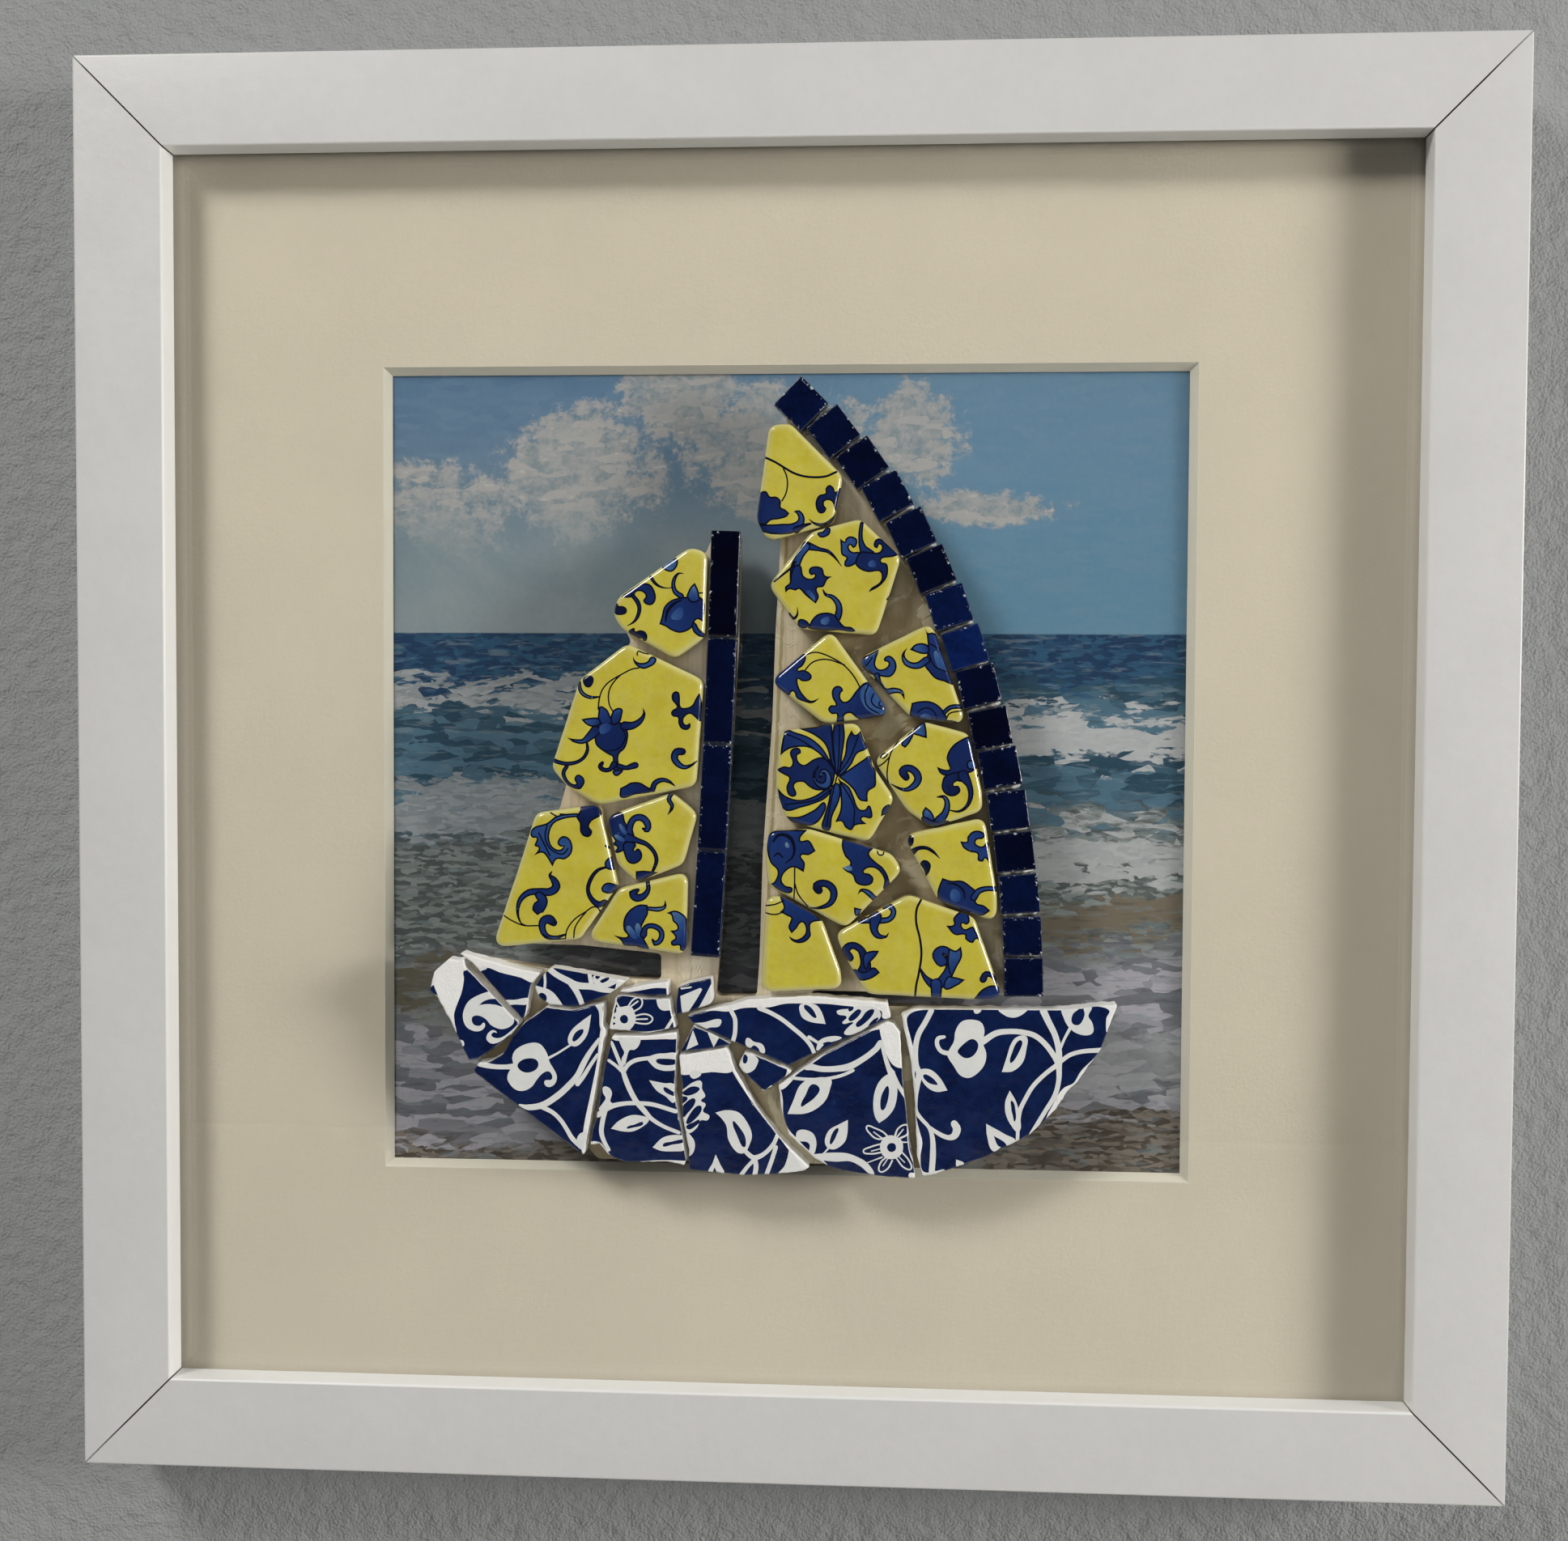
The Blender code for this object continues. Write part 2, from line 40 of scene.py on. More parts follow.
import bmesh
import bpy
import numpy as np
from mathutils import Matrix, Vector, geometry, noise

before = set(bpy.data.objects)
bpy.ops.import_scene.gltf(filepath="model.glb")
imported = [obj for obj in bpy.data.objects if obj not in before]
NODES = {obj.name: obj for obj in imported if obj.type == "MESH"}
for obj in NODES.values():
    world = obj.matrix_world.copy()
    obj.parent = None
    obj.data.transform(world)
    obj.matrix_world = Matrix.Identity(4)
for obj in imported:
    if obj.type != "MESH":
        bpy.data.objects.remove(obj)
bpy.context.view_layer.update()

MILLIMETRE = 0.001
MIDDLE_Z = (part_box("left_rail")[0].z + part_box("left_rail")[1].z) / 2
RAIL_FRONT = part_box("top_rail")[0].y
RAIL_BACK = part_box("top_rail")[1].y
GLASS_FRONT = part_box("glass_pane")[0].y
TILE_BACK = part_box("hull_shard_01")[1].y
WINDOW_HALF = 0.0775       # half of the mat's window

RAIL_NAMES = ("top_rail", "right_rail", "bottom_rail", "left_rail")
SAIL_SHARDS, HULL_SHARDS, EDGE_TILES, MAST_TILES = (
    [name for name in sorted(NODES) if kind in name]
    for kind in ("sail_shard", "hull_shard", "edge_tile", "mast_tile"))

# The painted ornament of each shard, in painter's order, in tenths of a millimetre from the shard's middle:
# kind, numbers, and for the sails' marks the tones at the start and the end, then the sharp points. A leaf,
# patch, white, blue or bare area is a closed curve of x, y. A stroke or whiteline is x, y, width. A line is
# x, y, with its width in place of the first tone.
MARKS = {
    "fore_sail_shard_1": (
      ("leaf", (2,69,21,81,31,83,34,77,31,65,22,57,11,59), 0.75, 0.5),
      ("stroke", (-17,47,7,-8,35,6,2,29,4,13,27,2,23,28,2), 0.1, 0.1),
      ("stroke", (40,12,11,29,20,10,25,33,8,28,46,7,35,54,4,44,54,1), 0.3, 0.8),
      ("leaf", (-1,-40,3,-27,8,-8,20,4,34,9,50,11,80,7,81,-36,69,-31,60,-46,50,-53,36,-56,21,-51,
        10,-44), 0.3, 0.1, 0, 7),
      ("leaf", (65,37,71,25,74,12,74,4,59,0,50,11,52,19,57,29), 0.8, 0.2, 0),
      ("patch", (21,-28,29,-14,40,-9,44,-19,40,-30,29,-32), 0.6, 0.35),
      ("stroke", (11,-35,3,14,-17,6,25,-3,6,40,5,3), 0.5, 0.3),
      ("stroke", (64,-42,11,68,-51,12,76,-58,11,81,-60,8), 0.2, 0.35),
      ("leaf", (-72,11,-50,27,-31,36,-17,33,-8,17,-8,4,-14,-4,-21,-5,-29,-1,-31,5,-27,10,-28,16,-37,21,-46,18,
        -47,12,-56,9,-66,9), 0.2, 0.1),
      ("stroke", (-51,13,8,-42,2,9,-38,-11,8,-42,-27,7,-50,-37,4,-61,-43,1), 0.1, 0.15),
      ("leaf", (-85,-11,-81,0,-77,-6,-70,-6,-62,-11,-62,-19,-70,-23,-79,-23,-85,-20), 0.05, 0.05),
      ("leaf", (-59,-54,-54,-49,-47,-47,-46,-53,-37,-51,-27,-54,-23,-63,-26,-71,-32,-70,-33,-66,-39,-67,
        -48,-62), 0.05, 0.05),
      ("line", (73,18,79,18), 2),
    ),
    "fore_sail_shard_2": (
      ("leaf", (11,128,12,118,19,109,30,104,41,107,51,113,55,122,48,128,42,125,39,119,32,116,22,116,
        15,120), 0.3, 0.6, 0),
      ("line", (22,106,10,104,-3,98,-12,93,-23,87,-37,77,-47,64,-52,48,-54,29), 2),
      ("line", (-12,93,-23,82,-32,68,-35,53,-33,37,-27,26), 2),
      ("line", (19,130,20,137,30,134,39,132), 2),
      ("leaf", (-83,87,-72,92,-64,89,-63,79,-69,70,-77,70,-82,77), 0.05, 0.05),
      ("stroke", (-90,79,7,-88,66,8,-81,56,8,-68,51,7,-52,52,3), 0.7, 0.7),
      ("leaf", (-61,-25,-59,-2,-43,8,-25,10,-8,2,2,-13,1,-31,-4,-44,-14,-54,-16,-64,-14,-80,-20,-90,-27,-80,
        -27,-60,-34,-56,-48,-47,-58,-38), 0.1, 0.1),
      ("leaf", (-53,33,-48,35,-37,28,-31,16,-25,4,-43,0,-54,4), 0.45, 0.1, 0, 3),
      ("leaf", (-25,28,-14,32,-8,28,-9,19,-14,4,-28,0,-31,16), 0.45, 0.1, 6),
      ("leaf", (-86,10,-70,13,-52,12,-50,0,-65,-4,-76,0), 0.7, 0.15, 0),
      ("stroke", (-111,-25,1,-99,-30,7,-83,-31,10,-70,-22,16,-59,-11,20), 0.7, 0.1),
      ("stroke", (30,31,1,32,20,6,24,7,11,10,-1,15,-5,-2,18), 0.3, 0.1),
      ("stroke", (-46,-71,7,-50,-78,10,-43,-84,9,-32,-83,9,-24,-73,13), 0.05, 0.1),
      ("stroke", (-15,-77,11,-1,-80,9,9,-77,12,16,-75,13), 0.1, 0.1),
      ("leaf", (-27,-86,-25,-93,-19,-96,-11,-91,-7,-84), 0.5, 0.2),
      ("patch", (-52,-9,-48,0,-38,3,-29,-2,-34,-12,-48,-17), 0.5, 0.3),
      ("stroke", (-39,-49,2,-16,-44,3,-3,-24,3,-8,-7,2), 0.3, 0.3),
      ("stroke", (-75,-35,5,-74,-47,7,-80,-60,7,-92,-69,7,-110,-73,8,-126,-71,8,-140,-66,8), 0.3, 0.3),
      ("stroke", (-113,-78,8,-119,-89,8,-117,-100,8,-109,-111,7), 0.3, 0.3),
      ("leaf", (-98,-98,-92,-93,-83,-97,-79,-106,-83,-116,-89,-121,-103,-118,-116,-108,-111,-105,-101,-111,
        -95,-110,-98,-105), 0.3, 0.05),
      ("leaf", (136,59,129,51,122,38,113,33,101,34,99,51,97,61,90,63,84,58,84,47,93,34,86,29,82,23,86,16,
        95,14,96,4,101,-6,112,-9,119,-3,118,5,111,1,106,5,107,14,117,21,126,16,134,8,141,8), 0.1, 0.05, 19),
      ("stroke", (104,-49,14,93,-50,15,89,-61,14,96,-72,12,108,-78,9,121,-74,5,130,-67,3), 0.05, 0.7),
      ("leaf", (-13,-118,-3,-113,8,-107,24,-107,37,-114,49,-122,42,-126,15,-130,-11,-136), 0.2, 0.05, 0),
      ("stroke", (48,-120,11,53,-108,11,66,-102,9,79,-105,7,90,-113,2), 0.1, 0.6),
    ),
    "fore_sail_shard_3": (
      ("leaf", (49,117,25,118,1,113,-17,100,-41,92,-49,81,-44,72,-36,71,-40,57,-32,53,-41,39,-26,44,-19,39,
        -6,18,2,32,17,32,29,42,32,56,26,71,14,76,5,69,4,60,12,55,15,57,10,51,1,51,-9,60,-12,78,-4,98,13,107,
        37,111,49,109), 0.6, 0.35, 10, 13),
      ("line", (-16,96,-20,78,-16,60,-4,47,13,42,23,52), 2),
      ("line", (-32,81,-23,63,-11,39), 2),
      ("leaf", (47,134,79,139,85,127,85,115,69,105,63,94,69,85,64,75,52,76,46,85,45,100,39,112,
        46,124), 0.1, 0.05),
      ("line", (-10,119,1,113), 2),
      ("line", (8,117,19,116), 2),
      ("stroke", (-7,9,2,-11,2,6,-4,-6,13,1,-19,17,-10,-29,16,-29,-29,14,-51,-31,13,-67,-45,10,-72,-67,6,
        -66,-88,3,-56,-93,2), 0.1, 0.4),
      ("stroke", (-31,-36,17,-24,-46,19,-32,-59,25,-36,-61,18), 0.3, 0.05),
      ("line", (-98,-75,-81,-85,-60,-93,-32,-93), 2),
      ("stroke", (-4,-87,15,-12,-81,19,-23,-84,16,-25,-99,13,-16,-113,11,1,-115,8,18,-109,4), 0.05, 0.6),
      ("line", (18,-118,22,-99,36,-80,55,-67,74,-56,83,-65,79,-75,61,-98,49,-116), 2),
      ("line", (34,-115,37,-95,49,-76,57,-67), 2),
      ("line", (-28,-107,-5,-118,18,-117), 2),
      ("stroke", (98,19,4,79,12,7,66,-5,8,61,-25,8,68,-42,10,82,-52,13,92,-47,10), 0.05, 0.1),
      ("leaf", (86,-21,93,-12,105,-11,118,-19,109,-29,100,-32,93,-30,88,-28), 0.5, 0.1),
      ("leaf", (92,22,95,32,105,38,113,31,114,15,98,14), 0.4, 0.2),
      ("line", (94,58,101,54), 3),
    ),
    "fore_sail_shard_4": (
      ("leaf", (-82,36,-57,47,-50,30,-45,20,-42,8,-39,-10,-51,-24,-66,-30,-72,-27,-65,-19,-75,-13,-69,-7,
        -79,6), 0.1, 0.2, 8),
      ("stroke", (-40,-3,19,-42,16,14,-34,34,13,-19,37,14,-8,26,14,-9,14,11,-17,17,4), 0.2, 0.35),
      ("stroke", (-45,-1,19,-27,-6,11,-9,-13,9,5,-28,8,9,-43,8,3,-61,6,0,-66,4), 0.2, 0.1),
      ("leaf", (-55,-16,-52,-31,-45,-46,-33,-50,-20,-42,-18,-30,-26,-20,-33,-25,-29,-13,-42,-7,
        -52,-10), 0.2, 0.1),
      ("patch", (-61,25,-53,19,-47,5,-56,10), 0.8, 0.4),
      ("patch", (-70,4,-57,1,-50,-7,-63,-5), 0.8, 0.4),
      ("leaf", (-30,-63,-12,-62,13,-65,-9,-76,-27,-82), 0.1, 0.1, 0, 2),
      ("stroke", (38,85,9,32,72,9,38,60,8,36,52,6,30,43,1), 0.3, 0.6),
    ),
    "fore_sail_shard_5": (
      ("stroke", (16,61,8,18,46,9,9,33,13,-4,30,16,-11,37,15,-2,44,8), 0.3, 0.1),
      ("leaf", (17,17,0,17,-18,6,-28,-11,-28,-31,-21,-43,-47,-41,-33,-51,-28,-60,-4,-62,18,-68,11,-47,6,-26,
        11,-14,18,1), 0.25, 0.1, 0, 6),
      ("patch", (-21,-23,-7,-35,-4,-47,-16,-41), 0.8, 0.4),
      ("patch", (-3,-18,5,-29,4,-44,-5,-35), 0.8, 0.4),
      ("stroke", (9,-39,15,14,-25,10,29,-23,11,42,-32,11,42,-47,11,32,-55,10,26,-48,4), 0.2, 0.5),
      ("stroke", (50,25,1,49,14,7,38,9,10,18,10,8), 0.9, 0.6),
      ("leaf", (52,2,68,7,81,2,89,-7,92,-28,92,-71,78,-67,77,-59,63,-59,61,-51,69,-44,59,-31,72,-28,71,-20,
        64,-13,61,-2), 0.8, 0.05, 0, 11),
    ),
    "main_sail_shard_01": (
      ("line", (-64,44,-45,35,-30,26,-11,15,8,9,29,7,50,9,68,17), 3),
      ("line", (-30,24,-24,10,-22,-6,-25,-23,-32,-36), 2),
      ("leaf", (-76,-23,-62,-18,-54,-28,-43,-28,-34,-36,-34,-48,-27,-51,-18,-59,-24,-66,-38,-70,-52,-72,
        -63,-80,-80,-75,-78,-46), 0.1, 0.15, 7),
      ("stroke", (-71,-85,13,-53,-88,18,-32,-88,20,-13,-86,18,1,-78,15,4,-67,12,-2,-57,9,
        -9,-56,2), 0.1, 0.45),
      ("stroke", (-6,-89,13,8,-82,8,21,-78,4), 0.1, 0.05),
      ("leaf", (55,-7,63,-12,67,-20,74,-12,82,-15,79,-36,72,-53,67,-55,61,-39,53,-35,46,-38,46,-45,50,-50,
        46,-58,37,-59,31,-50,30,-38,36,-26,48,-22,48,-14), 0.1, 0.05),
      ("stroke", (73,-46,6,67,-63,6,56,-74,6,44,-80,7,29,-78,5,18,-70,1), 0.05, 0.05),
    ),
    "main_sail_shard_02": (
      ("leaf", (-33,81,-23,84,-16,92,-9,90,-10,79,-19,73,-28,73), 0.4, 0.2),
      ("stroke", (-53,58,17,-29,51,8,-13,47,7,-1,37,5,12,20,1), 0.3, 0.1),
      ("stroke", (-53,56,16,-64,41,15,-72,23,17,-74,8,19,-71,-8,25), 0.5, 0.2),
      ("line", (-112,-8,-98,3,-81,17,-73,28), 3),
      ("leaf", (-82,3,-84,-11,-92,-18,-91,-29,-84,-23,-72,-25,-66,-22,-54,-34,-35,-49,-29,-36,-33,-21,-21,-18,
        -14,-5,-5,1,-18,3,-23,16,-34,20,-46,17,-48,8,-43,3,-38,5,-38,0,-47,-3,-58,3,-63,21,
        -75,21), 0.2, 0.1, 3, 8, 13),
      ("patch", (-37,-45,-48,-33,-52,-24,-43,-27,-37,-36), 0.7, 0.3, 0),
      ("stroke", (49,99,7,47,85,8,47,69,9,51,54,14,60,39,29), 0.5, 0.15),
      ("leaf", (9,71,18,65,19,70,27,75,39,71,41,62,34,53,27,59,26,52,33,46,44,46,47,36,39,25,28,19,18,20,
        18,30,21,35,12,41,10,57), 0.6, 0.2, 0),
      ("leaf", (71,62,76,70,84,71,94,62,110,49,118,42,107,37,87,34,85,28,95,25,98,13,95,-2,82,-17,62,-28,
        67,-20,82,-10,86,0,82,10,61,9,45,15,37,26,47,46,63,46,81,46,86,55,81,60,78,53,
        72,55), 0.1, 0.1, 5, 13),
      ("patch", (61,23,69,31,76,21,68,18), 0.6, 0.3),
      ("stroke", (-22,-23,2,-17,-32,6,-4,-37,9,7,-51,12,7,-69,14,0,-81,16), 0.7, 0.2),
      ("leaf", (-47,-88,-41,-77,-31,-68,-15,-65,0,-69,8,-79,18,-90,31,-92,38,-100,8,-98,-18,-99,
        -49,-94), 0.15, 0.1),
      ("patch", (-26,-83,-20,-75,-11,-73,-10,-82,-17,-88), 0.7, 0.4),
      ("leaf", (-67,-79,-56,-78,-46,-88,-54,-94,-66,-93), 0.1, 0.1),
      ("stroke", (-69,-56,1,-69,-69,4,-76,-76,6,-84,-67,4), 0.7, 0.5),
      ("line", (104,-30,96,-41), 2),
    ),
    "main_sail_shard_03": (
      ("line", (-47,43,-31,48,-16,46,5,37,23,26,39,10,49,-5,55,-17), 2),
      ("line", (-47,15,-34,29,-16,35,0,34,15,29,26,25), 2),
      ("leaf", (-110,-11,-106,5,-83,25,-49,46,-45,37,-51,23,-60,15,-51,16,-39,11,-34,2,-41,-5,-54,-5,-60,-1,
        -58,-16,-49,-31,-36,-41,-19,-36,-33,-46,-49,-43,-62,-37,-69,-24,-77,-32,-90,-28), 0.3, 0.1, 16),
      ("leaf", (3,-23,8,-15,18,-14,24,-22,20,-26,19,-36,26,-43,36,-38,47,-23,62,-8,73,-7,93,-31,110,-59,
        108,-69,83,-72,62,-78,49,-73,37,-64,26,-69,26,-81,13,-83,12,-66,3,-66,-4,-57,2,-49,10,-49,
        4,-36), 0.3, 0.05),
      ("patch", (56,-23,68,-12,90,-36,105,-60,91,-67,70,-59,58,-41), 0.6, 0.5),
      ("line", (70,-13,64,-31,69,-51,91,-65), 2),
      ("line", (80,-28,76,-41,83,-51,98,-56), 2),
      ("line", (92,-42,90,-49,97,-51), 2),
    ),
    "main_sail_shard_04": (
      ("leaf", (-101,22,-69,42,-62,45,-66,30,-68,17,-61,9,-48,12,-44,21,-52,24,-51,31,-41,34,-30,22,-30,7,
        -40,-5,-56,-5,-66,-2,-76,-1,-89,9), 0.4, 0.4),
      ("stroke", (-65,-2,11,-61,-17,11,-50,-32,13,-33,-30,11,-20,-33,8,-14,-46,1), 0.4, 0.8),
      ("line", (-74,30,-84,17,-92,12), 2),
      ("line", (-79,7,-63,-11,-53,-24), 2),
      ("leaf", (22,88,28,76,38,77,54,63,64,25,77,-17,57,-13,42,-8,29,6,22,17,26,33,28,45,26,71), 0.3, 0.1, 0),
      ("patch", (41,43,51,33,61,7,52,7,43,22), 0.7, 0.4),
      ("line", (30,38,41,15,67,3), 2),
      ("line", (32,56,51,45,62,30), 2),
      ("leaf", (-5,45,5,55,21,57,31,50,30,39,18,37,5,41), 0.7, 0.2, 0),
      ("stroke", (-11,47,1,-17,35,6,-12,22,11,0,16,12,13,17,14,26,26,15), 0.8, 0.3),
      ("leaf", (-1,-53,11,-50,29,-49,44,-54,58,-67,64,-84,50,-91,24,-87,-2,-82), 0.2, 0.2, 0),
      ("line", (10,-70,24,-62,39,-67,47,-83), 2),
      ("patch", (15,-80,19,-74,31,-74,36,-83), 0.7, 0.4),
      ("stroke", (59,-70,9,70,-61,9,85,-59,9,99,-62,9), 0.3, 0.6),
      ("line", (63,-86,75,-87,92,-92), 3),
      ("line", (63,-83,69,-72,91,-67), 2),
    ),
    "main_sail_shard_05": (
      ("leaf", (-67,99,-35,103,-8,108,-4,90,-1,53,3,15,-5,29,-17,68,-37,86), 0.1, 0.2, 0),
      ("leaf", (-100,49,-100,59,-95,86,-90,97,-75,93,-47,83,-25,66,-10,44,-3,29,-14,37,-32,55,-50,64,-73,64,
        -88,59), 0.15, 0.4, 0),
      ("leaf", (-106,23,-93,29,-82,28,-78,37,-83,53,-78,62,-66,63,-62,54,-69,49,-66,37,-56,32,-38,43,-21,46,
        -1,30,1,13,-6,-10,-19,-15,-35,-15,-47,-9,-59,0,-74,-5,-70,-23,-77,-28,-86,-23,-89,-9,-84,7,-93,13,
        -103,19), 0.1, 0.1),
      ("stroke", (-26,10,6,-21,21,9,-12,13,12,-15,-5,16,-32,-2,9,-38,13,5,-30,29,4), 0.6, 0.3),
      ("leaf", (-106,-11,-90,-26,-65,-33,-38,-26,-13,-11,-5,-14,-16,-30,-34,-39,-59,-47,
        -93,-52), 0.1, 0.3, 0),
      ("leaf", (-90,-64,-65,-64,-37,-51,-17,-38,-24,-67,-43,-81,-74,-77), 0.1, 0.3, 0),
      ("leaf", (-5,-8,6,-1,12,-14,9,-35,-3,-63,-9,-90,-23,-85,-19,-63,-12,-39), 0.4, 0.1),
      ("leaf", (-2,108,17,109,19,84,15,53,11,22,5,10,-1,38,-5,84), 0.1, 0.4, 0, 1),
      ("leaf", (31,97,38,88,48,96,54,78,61,64,42,53,30,31,7,11,10,29,19,53,22,78), 0.1, 0.4, 0, 2),
      ("leaf", (7,10,35,30,54,43,65,49,70,32,76,23,77,8,76,-7,63,-17,62,-36,47,-33,35,-14,
        23,-2), 0.4, 0.1, 0, 9),
      ("leaf", (8,5,27,-8,36,-26,45,-48,57,-50,64,-42,70,-53,69,-66,51,-66,60,-77,39,-80,32,-89,20,-83,14,-73,
        2,-74,11,-51,11,-20), 0.4, 0.1, 0, 9, 14),
      ("leaf", (86,-63,90,-47,103,-41,99,-56), 0.3, 0.1, 0),
      ("line", (4,9,-7,-39,-14,-82), 2),
      ("line", (5,10,8,53,9,105), 2),
      ("line", (7,14,29,47,43,84), 2),
      ("line", (8,6,36,-44,36,-78), 2),
      ("line", (-1,23,-20,47,-60,76,-90,89), 2),
      ("line", (-7,-14,-34,-33,-90,-42), 2),
    ),
    "main_sail_shard_06": (
      ("leaf", (-32,78,-12,98,-7,87,-5,67,-19,71), 0.7, 0.3, 3),
      ("leaf", (-53,56,-44,69,-31,79,-35,62,-45,49), 0.5, 0.2, 4),
      ("line", (-57,64,-71,41,-77,16,-78,-5,-74,-21), 2),
      ("line", (-98,13,-86,20,-74,32), 2),
      ("line", (-91,32,-84,39,-78,38,-85,30,-91,32), 2),
      ("stroke", (-43,-5,14,-49,6,17,-39,12,14,-26,5,15,-21,-8,15,-29,-21,13,-46,-28,7,-71,-18,2), 0.05, 0.6),
      ("leaf", (75,71,55,64,40,52,31,33,35,17,37,11,27,10,13,15,19,3,29,-2,48,-5,69,2,84,11,84,33,
        84,57), 0.15, 0.1, 7),
      ("leaf", (29,-1,23,-13,23,-27,33,-38,47,-39,57,-30,53,-20,44,-19,50,-12,59,-13,68,-4,63,7), 0.1, 0.05),
      ("stroke", (62,-1,22,73,-19,12,76,-37,10,70,-56,7,55,-67,5,36,-65,2), 0.1, 0.1),
      ("leaf", (69,25,83,27,88,13,71,11), 0.6, 0.3),
      ("stroke", (14,-41,2,27,-41,8,33,-53,11,29,-71,14,18,-85,19), 0.7, 0.25),
      ("leaf", (-7,-59,4,-68,10,-81,6,-87,-10,-81,-13,-70), 0.7, 0.3, 0),
      ("leaf", (-13,-77,12,-86,38,-86,25,-96,-9,-91), 0.15, 0.15),
      ("line", (86,-5,91,4), 2),
    ),
    "main_sail_shard_07": (
      ("leaf", (-123,76,-110,86,-85,89,-48,89,-61,70,-45,70,-32,50,-45,42,-59,41,-52,28,-54,10,-73,19,-88,11,
        -95,-4,-88,-15,-75,-19,-78,-29,-97,-26,-116,-12,-108,-7,-103,12,-116,27,
        -123,51), 0.3, 0.15, 3, 6, 10, 18),
      ("stroke", (-111,67,4,-101,79,6,-82,76,7,-73,61,6,-74,40,4,-88,27,2), 0.5, 0.3),
      ("stroke", (-110,39,2,-102,45,4,-94,38,3), 0.5, 0.5),
      ("patch", (-88,65,-84,65,-81,58,-85,55,-89,59), 0.9, 0.7),
      ("line", (-71,18,-71,-10,-72,-40), 2),
      ("line", (-71,-10,-64,-31,-46,-54), 2),
      ("stroke", (-26,-23,16,-30,-15,16,-15,-10,14,-1,-19,15,2,-33,14,-6,-48,11,-26,-56,6,
        -42,-56,2), 0.05, 0.3),
      ("leaf", (17,73,37,70,62,64,76,59,67,46,78,32,93,20,103,2,105,-17,94,-20,95,-2,83,16,68,20,57,12,67,9,
        75,1,72,-10,58,-14,43,-9,36,6,25,12,17,19,32,27,22,41,16,59), 0.2, 0.1, 0, 21),
      ("patch", (19,19,30,24,36,16,29,14), 0.9, 0.7, 0),
      ("stroke", (47,-29,1,53,-22,6,65,-26,11,78,-38,11), 0.7, 0.4),
      ("leaf", (39,-54,55,-57,44,-71), 0.6, 0.4, 0, 1),
      ("line", (82,50,85,44,92,44,94,48), 2),
    ),
    "main_sail_shard_08": (
      ("leaf", (65,51,55,43,43,48,45,55,56,57,60,65,49,72,36,70,27,59,27,52,14,52,21,39,34,32,46,29,47,17,
        57,15,60,21,69,11,67,37), 0.25, 0.4, 10, 17),
      ("stroke", (-73,31,12,-64,38,8,-48,39,7,-35,32,6,-23,20,1), 0.05, 0.05),
      ("leaf", (-84,61,-73,60,-71,51,-77,41,-83,51), 0.05, 0.05),
      ("leaf", (-59,10,-51,17,-40,10,-41,-3,-48,-15,-53,0), 0.05, 0.05, 4),
      ("leaf", (-18,-16,-2,-21,19,-21,37,-33,47,-43,45,-61,59,-66,71,-76,56,-86,41,-86,7,-76,-22,-66,-27,-46,
        -24,-31), 0.15, 0.2, 0, 7),
      ("patch", (-3,-46,2,-37,11,-39,17,-49,11,-60,0,-58), 0.6, 0.35),
      ("stroke", (-8,-26,2,7,-28,4,21,-39,4,24,-55,2), 0.3, 0.3),
      ("stroke", (40,-52,14,49,-40,12,65,-35,10,83,-36,10), 0.3, 0.5),
    ),
    "main_sail_shard_09": (
      ("leaf", (-39,93,-12,78,18,62,39,45,18,41,16,28,17,17,7,6,-7,3,-19,8,-24,16,-10,10,5,19,7,33,0,42,
        -10,30,-19,21,-25,33,-20,50,-26,53,-41,61,-34,69), 0.3, 0.1, 3, 10, 16, 20),
      ("line", (-69,72,-50,75,-34,82), 2),
      ("line", (-69,59,-50,56,-34,61), 2),
    ),
    "main_sail_shard_10": (
      ("stroke", (-65,72,5,-56,77,11,-47,67,11,-53,54,11,-67,50,12,-83,52,17,-109,47,8), 0.6, 0.3),
      ("stroke", (-80,56,24,-83,35,16,-76,22,12,-61,20,5,-56,27,1), 0.2, 0.3),
      ("line", (6,93,-4,73,-5,47,2,17,5,-13,0,-50,-4,-69,-6,-91), 3),
      ("leaf", (50,42,64,44,63,55,73,66,87,67,94,52,88,44,79,46,84,36,99,41,104,34,117,9,106,18,99,10,85,18,
        85,25,66,25), 0.2, 0.3, 0, 11),
      ("stroke", (-127,-20,15,-135,-7,17,-124,3,14,-108,-4,14,-101,-18,17,-98,-33,21,-101,-48,27), 0.1, 0.1),
      ("leaf", (-102,-14,-90,-7,-73,-6,-79,-17,-90,-29,-96,-42,-103,-33), 0.4, 0.1, 2),
      ("leaf", (-121,-42,-101,-46,-83,-37,-71,-47,-86,-58,-105,-63,-117,-58), 0.3, 0.1, 3),
      ("stroke", (42,-24,23,35,-12,21,45,-3,16,57,-12,16,59,-31,17,51,-53,21,33,-68,21,14,-57,11,
        2,-37,3), 0.3, 0.2),
      ("leaf", (55,-1,68,-4,78,4,80,-15,72,-32,59,-51), 0.6, 0.3, 2),
      ("leaf", (53,-53,66,-53,86,-58,72,-69,48,-76), 0.5, 0.3, 2),
      ("stroke", (33,-67,23,33,-93,19), 0.3, 0.2),
      ("stroke", (119,-57,14,125,-47,12,137,-52,8,145,-72,3), 0.1, 0.05),
      ("leaf", (102,-94,118,-75,141,-68,157,-86,130,-99), 0.1, 0.2, 0),
    ),
    "hull_shard_01": (
